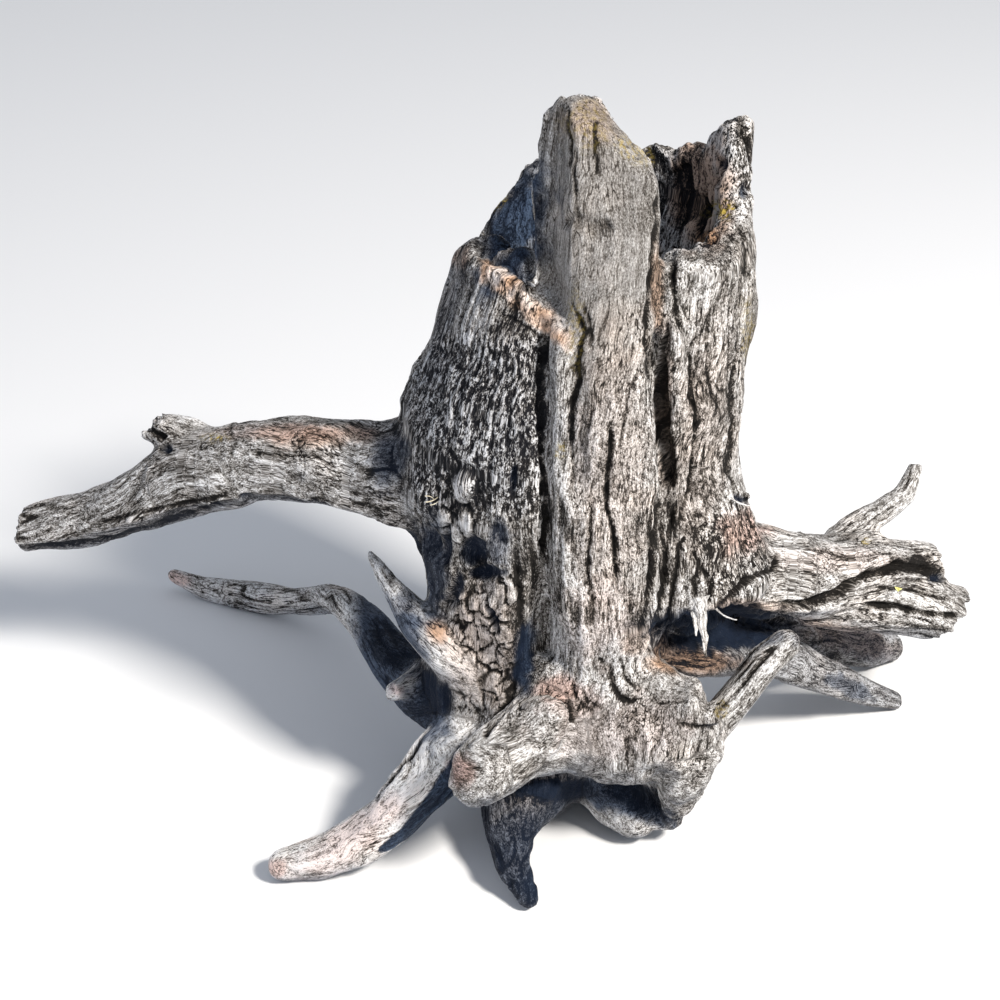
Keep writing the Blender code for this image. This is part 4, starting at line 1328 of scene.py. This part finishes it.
@lru_cache(maxsize=None)
def weathered_wood():
    """Sun-silvered conifer wood: dry and matt, fibrous along the grain, with hair cracks, grit, stains and
    painted shade.
    """
    chosen = bpy.context.scene.driftwood_colours
    material, tree = blank("sun_silvered_wood")
    values = {
        look: add(tree, "Attribute", {"attribute_name": look}).outputs["Fac"]
        for look in ("grain_mix", *LOOKS)
    }
    # Fibres and hair cracks follow the grain of a root and of the wood beside it, mixed where they meet.
    ways = [add(tree, "Attribute", {"attribute_name": grain}).outputs["Vector"] for grain in GRAINS]
    for mark, (across, along, detail) in FINE_MARKS.items():
        cells = {"operation": "MULTIPLY", 1: (1 / across, 1 / across, 1 / along)}
        scaled = [add(tree, "VectorMath", cells, {0: way}).outputs[0] for way in ways]
        noise = {"Scale": 1.0, "Detail": detail, "Roughness": 0.65}
        own, beside = (add(tree, "TexNoise", noise, {"Vector": each}).outputs["Fac"] for each in scaled)
        values[mark] = add(tree, "Mix", {}, {0: values["grain_mix"], 2: own, 3: beside}).outputs[0]
    here = add(tree, "TexCoord").outputs["Object"]
    for mark, size in BROAD_MARKS.items():
        noise = {"Scale": 1 / size, "Detail": 2.0, "Roughness": 0.6}
        values[mark] = add(tree, "TexNoise", noise, {"Vector": here}).outputs["Fac"]
    for name, kind, *inputs in BLENDS:
        links = {k: values[source] for k, source in enumerate(inputs) if isinstance(source, str)}
        numbers = {k: number for k, number in enumerate(inputs) if k not in links}
        if kind not in NODES:
            kind, numbers = "Math", {"operation": kind, **numbers}
        values[name] = add(tree, kind, numbers, links).outputs[0]

    ramp = add(tree, "ValToRGB", {}, {0: values["light"]})
    set_stops(ramp, [(place, getattr(chosen, shade)) for place, shade in SHADES])
    colour = ramp.outputs[0]
    for mask, blend, tint in TINTS:
        settings = {"data_type": "RGBA", "blend_type": blend, 7: (*getattr(chosen, tint), 1.0)}
        colour = add(tree, "Mix", settings, {0: values[mask], 6: colour}).outputs[2]
    bump = add(tree, "Bump", {"Strength": 1.0, "Distance": BUMP_DEPTH}, {"Height": values["height"]})
    surfaced(
        tree,
        {"IOR": WOOD_IOR, "Specular IOR Level": 0.3},
        {"Base Color": colour, "Normal": bump.outputs[0], "Roughness": values["rough"]},
    )
    return material


def colour_setting(name, description, colour):
    return FloatVectorProperty(
        name=name, description=description, subtype="COLOR", size=3, min=0.0, max=1.0, default=linear(colour)
    )


class DriftwoodSizes(PropertyGroup):
    """Sizes of the stump's surface that a user may change."""

    skin_step: FloatProperty(
        name="Skin step",
        description="Side of the small squares that the carved skin is made of",
        default=0.0022,
        min=0.0018,
        max=0.006,
        precision=4,
        unit="LENGTH",
    )
    carving: FloatProperty(
        name="Carving",
        description="How deep the weather has cut, as a share of the photographed stump",
        default=1.0,
        min=0.0,
        max=1.3,
        subtype="FACTOR",
    )


class DriftwoodColours(PropertyGroup):
    """Colours of the weathered wood that a user may change."""

    crack: colour_setting("Cracks", "The dark wood inside cracks and pits", "#15120f")
    shade: colour_setting("Shade", "Grey wood in the grooves between the fibres", "#57524d")
    silver: colour_setting("Silver", "The silver-grey of most of the surface", "#a19e9b")
    bleached: colour_setting("Bleached", "Ridges that the sun has bleached", "#f3f2f2")
    heartwood: colour_setting("Heartwood", "Tan of freshly broken or sheltered wood", "#e8bc98")
    warm: colour_setting("Warm", "The faint tan cast of patches of the surface", "#f6ece2")
    rose: colour_setting("Rose", "Pinkish stain on sea-worn knots and roots", "#f2cfc4")
    lichen: colour_setting("Lichen", "Dry yellow lichen in sheltered corners", "#b09a48")
    # The colours of the painted shade: a blue-grey laid over wood in shade, and a deep blue in its darkest
    # places.
    damp: colour_setting("Painted_shade", "Wood that stays in the shade under the stump", "#5d6f88")
    gloom: colour_setting("Gloom", "The blue cast of the deepest shade", "#0d2440")


# The parts of the skin that the operator of the branches finishes, and that of the roots leaves out.
BRANCH_PARTS = ("left_limb", "left_limb_snag", "diagonal_branch", "upturned_twig", "spike", "side_snag")


class DRIFTWOOD_OT_trunk(Operator):
    """Build the hollow trunk and its root collar"""

    bl_idname = "driftwood.trunk"
    bl_label = "Trunk"

    def execute(self, context):
        for name, cuts in TRUNK_PIECES.items():
            finished_piece(TRUNK, name + "_wood", cuts)
        return {"FINISHED"}


class DRIFTWOOD_OT_roots(Operator):
    """Build the roots that the stump stands on"""

    bl_idname = "driftwood.roots"
    bl_label = "Roots"

    def execute(self, context):
        for name in NAMES[1:]:
            if name not in BRANCH_PARTS:
                finished_piece(name, name + "_wood")
        return {"FINISHED"}


class DRIFTWOOD_OT_branches(Operator):
    """Build the broken limb, the branches and the pointed snags"""

    bl_idname = "driftwood.branches"
    bl_label = "Branches"

    def execute(self, context):
        for name in BRANCH_PARTS:
            finished_piece(name, name + "_wood")
        return {"FINISHED"}


class DRIFTWOOD_OT_litter(Operator):
    """Add the torn splinters, the straw and the flake of leaf that cling to the wood"""

    bl_idname = "driftwood.litter"
    bl_label = "Splinters and straw"

    def execute(self, context):
        joined_piece("splinters", [strand(settings) for settings in SPLINTERS], weathered_wood())
        straw = litter("dry_straw", "#e9e2cf", "#a08f6b")
        joined_piece("straws", [strand(settings) for settings in STRAWS], straw)
        joined_piece("leaf_fleck", [leaf_fleck()], litter("dry_leaf", "#dfe0a0", "#b3ab58"))
        return {"FINISHED"}


class DRIFTWOOD_OT_stage(Operator):
    """Set the pale floor, the studio light and the camera"""

    bl_idname = "driftwood.stage"
    bl_label = "Stage"

    def execute(self, context):
        set_floor()
        set_light()
        set_camera()
        return {"FINISHED"}


class DRIFTWOOD_PT_panel(Panel):
    bl_idname = "DRIFTWOOD_PT_panel"
    bl_label = "Driftwood stump"
    bl_space_type = "VIEW_3D"
    bl_region_type = "UI"
    bl_category = "Driftwood"

    def draw(self, context):
        for group in (context.scene.driftwood_sizes, context.scene.driftwood_colours):
            for name in group.__annotations__:
                self.layout.prop(group, name)
        for operator in OPERATORS:
            self.layout.operator(operator.bl_idname)


# Torn strands that cling to the wood: the piece that carries them, the pixels of their root and tip, how
# far the tip stands out, then thickness at the root and at the tip and bow, all in millimetres.
SPLINTERS = (
    ("trunk_front_wood", (699, 598), (706, 657), 20, 8.0, 0.8, 3.0),
    ("trunk_front_wood", (694, 612), (696, 636), 10, 4.0, 0.7, -1.5),
    ("trunk_front_wood", (715, 606), (737, 620), 8, 1.5, 0.7, 4.0),
    ("trunk_front_wood", (729, 492), (751, 506), 3, 2.2, 0.8, 4.0),
)
STRAWS = (
    ("trunk_front_wood", (439, 494), (425, 502), 3, 1.0, 0.6, 3.0),
    ("trunk_front_wood", (436, 503), (425, 496), 4, 0.9, 0.5, -2.0),
    ("trunk_front_wood", (441, 499), (430, 505), 3, 0.8, 0.5, 2.0),
    ("trunk_front_wood", (659, 652), (646, 644), 4, 0.9, 0.5, 2.0),
)
# How deep a strand is rooted in metres, its sides and the cuts along it, how flat it is for its width, how
# many times it turns, and its roughness as a pattern along the grain.
STRAND_ROOT, STRAND_SIDES, STRAND_CUTS, STRAND_FLATNESS, STRAND_CROOKS = 0.003, 12, 11, 0.55, 3.0
STRAND_ROUGHNESS = (0.004, 0.012, 111)
# The flake of leaf: its carrier, pixel and half sizes in millimetres, then the patterns of its edge and its
# folds, how high they are, how it curls and how far it lies off the wood.
LEAF = ("right_prong_wood", (898, 588), (5.5, 4.8, 0.5))
LEAF_EDGE, LEAF_FOLDS = (0.005, 121), (0.006, 123)
LEAF_WAVINESS, LEAF_CURL, LEAF_GAP = 0.0012, 25.0, 0.0003
# How finely the litter is mottled, in cells to the metre.
LITTER_CELLS = 240.0


@lru_cache(maxsize=None)
def skin_tree(carrier):
    """A search tree over a finished piece."""
    return BVHTree.FromObject(bpy.data.objects[carrier], bpy.context.evaluated_depsgraph_get())


def landed(carrier, u, v):
    """The place on a finished piece that a pixel of the photograph shows, and the way out of the wood."""
    way = (behind_pixel(u, v, 0.0) - CAMERA_AT).normalized()
    place, outward, _, _ = skin_tree(carrier).ray_cast(CAMERA_AT, way)
    if place is None:
        raise ValueError(f"pixel {u}, {v} does not show {carrier}")
    return place, outward


def strand(settings):
    """One tapering, bowed and crooked strand rooted in the wood, with its own grain."""
    carrier, root, tip, lift, thick, thin, bow = settings
    place, outward = landed(carrier, *root)
    start = place - outward * STRAND_ROOT
    end = behind_pixel(*tip, place.y - lift * MM)
    run = end - start
    bm = bmesh.new()
    add_cone(bm, STRAND_SIDES, thick, thin, run.length)
    long = [edge for edge in bm.edges if abs(edge.verts[0].co.z - edge.verts[1].co.z) > run.length / 2]
    bmesh.ops.subdivide_edges(bm, edges=long, cuts=STRAND_CUTS)
    mesh = as_mesh(bm, "strand")
    grain = spots(mesh)
    places = grain.copy()
    along = grain[:, 2] / run.length + 0.5
    rough = 1.0 + 0.5 * along_grain(grain, STRAND_ROUGHNESS)
    places[:, 0] *= rough
    places[:, 1] *= STRAND_FLATNESS * rough
    places[:, 1] -= bow * MM * 4.0 * along * (1.0 - along)
    crook = wave(np.column_stack([0 * along, 0 * along, along * STRAND_CROOKS]) + start.x, 113)
    places[:, 0] += 0.6 * thick * MM * crook
    turn = np.array(run.to_track_quat("Z", "Y").to_matrix())
    move(mesh, places @ turn.T + np.array((start + end) / 2))
    for name in GRAINS:
        keep_values(mesh, name, grain)
    looks = {**dict.fromkeys(LOOKS, 0.0), "grain_mix": 0.0, "tone": 0.72, "pitting": 0.3}
    for name, value in looks.items():
        keep_values(mesh, name, np.full(len(grain), value))
    return mesh


def joined_piece(name, meshes, material):
    """Several small meshes as one named piece that rides on the stump."""
    bm = bmesh.new()
    for mesh in meshes:
        bm.from_mesh(mesh)
        bpy.data.meshes.remove(mesh)
    for face in bm.faces:
        face.smooth = True
    thing = shown(as_mesh(bm, name), name)
    thing.data.materials.append(material)
    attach(thing, BODY)


def litter(name, colour, dark):
    """Dry plant litter: matt, mottled between its pale colour and where it has browned."""
    material, tree = blank(name)
    here = add(tree, "TexCoord").outputs["Object"]
    noise = add(tree, "TexNoise", {"Scale": LITTER_CELLS, "Detail": 2.0}, {"Vector": here}).outputs["Fac"]
    ramp = add(tree, "ValToRGB", {}, {0: noise})
    set_stops(ramp, ((0.35, linear(dark)), (0.6, linear(colour))))
    surfaced(tree, {"Roughness": 0.8, "IOR": WOOD_IOR}, {"Base Color": ramp.outputs[0]})
    return material


def leaf_fleck():
    """A flake of dry leaf that lies on the right prong, a little curled."""
    carrier, pixel, halves = LEAF
    place, outward = landed(carrier, *pixel)
    bm = bmesh.new()
    add_ball(bm, halves)
    mesh = as_mesh(bm, "leaf")
    places = spots(mesh)
    places[:, :2] *= 1.0 + 0.3 * blotches(places, LEAF_EDGE)[:, None]
    places[:, 2] += LEAF_WAVINESS * blotches(places, LEAF_FOLDS) + LEAF_CURL * places[:, 0] ** 2
    turn = np.array(outward.to_track_quat("Z", "Y").to_matrix())
    move(mesh, places @ turn.T + np.array(place + outward * LEAF_GAP))
    return mesh


FLOOR_SIZE, FLOOR_PAINT = 8.0, "#f4f4f4"


def set_floor():
    """A plain pale floor of matt paint."""
    bm = bmesh.new()
    bmesh.ops.create_grid(bm, x_segments=1, y_segments=1, size=FLOOR_SIZE)
    floor = shown(as_mesh(bm, "floor"), "floor")
    material, tree = blank("pale_matt_paint")
    surfaced(tree, {"Base Color": (*linear(FLOOR_PAINT), 1.0), "Roughness": 0.9}, {})
    floor.data.materials.append(material)


# Studio lights: place, size across, power and colour. The key stands high on the viewer's right.
LIGHTS = {
    "key": ((2.3, -2.3, 3.4), 0.7, 300.0, "#fffaf3"),
    "fill": ((-2.6, -2.2, 1.6), 2.4, 16.0, "#cfdcf5"),
}
LIGHTS_AIM = Vector((0.05, -0.05, 0.35))
SKY, SKY_STRENGTH = "#dfe6f2", 0.50


def set_light():
    """A pale sky and two soft lamps."""
    scene = bpy.context.scene
    scene.world = bpy.data.worlds.new("studio")
    scene.world.use_nodes = True
    sky = scene.world.node_tree.nodes["Background"]
    sky.inputs["Color"].default_value = (*linear(SKY), 1.0)
    sky.inputs["Strength"].default_value = SKY_STRENGTH
    for name, (place, size, power, colour) in LIGHTS.items():
        lamp = bpy.data.lights.new(name, "AREA")
        lamp.size = size
        lamp.energy = power
        lamp.color = linear(colour)
        thing = shown(lamp, name)
        thing.location = place
        thing.rotation_euler = (LIGHTS_AIM - Vector(place)).to_track_quat("-Z", "Y").to_euler()
    scene.view_settings.view_transform = "Standard"


def set_camera():
    """The photograph's view, from a few steps away and 30 degrees down."""
    lens = bpy.data.cameras.new("camera")
    lens.lens = LENS_MM
    lens.sensor_width = SENSOR_MM
    camera = shown(lens, "camera")
    camera.location = CAMERA_AT
    camera.rotation_euler = (math.pi / 2 - CAMERA_PITCH, 0.0, 0.0)
    bpy.context.scene.camera = camera


OPERATORS = (
    DRIFTWOOD_OT_trunk, DRIFTWOOD_OT_roots, DRIFTWOOD_OT_branches, DRIFTWOOD_OT_litter, DRIFTWOOD_OT_stage
)
CLASSES = (DriftwoodSizes, DriftwoodColours, *OPERATORS, DRIFTWOOD_PT_panel)


def register():
    for each in CLASSES:
        bpy.utils.register_class(each)
    bpy.types.Scene.driftwood_sizes = PointerProperty(type=DriftwoodSizes)
    bpy.types.Scene.driftwood_colours = PointerProperty(type=DriftwoodColours)


def unregister():
    del bpy.types.Scene.driftwood_colours
    del bpy.types.Scene.driftwood_sizes
    for each in reversed(CLASSES):
        bpy.utils.unregister_class(each)


def main():
    register()
    bpy.ops.driftwood.trunk()
    bpy.ops.driftwood.roots()
    bpy.ops.driftwood.branches()
    bpy.ops.driftwood.litter()
    bpy.ops.driftwood.stage()


if __name__ == "__main__":
    main()
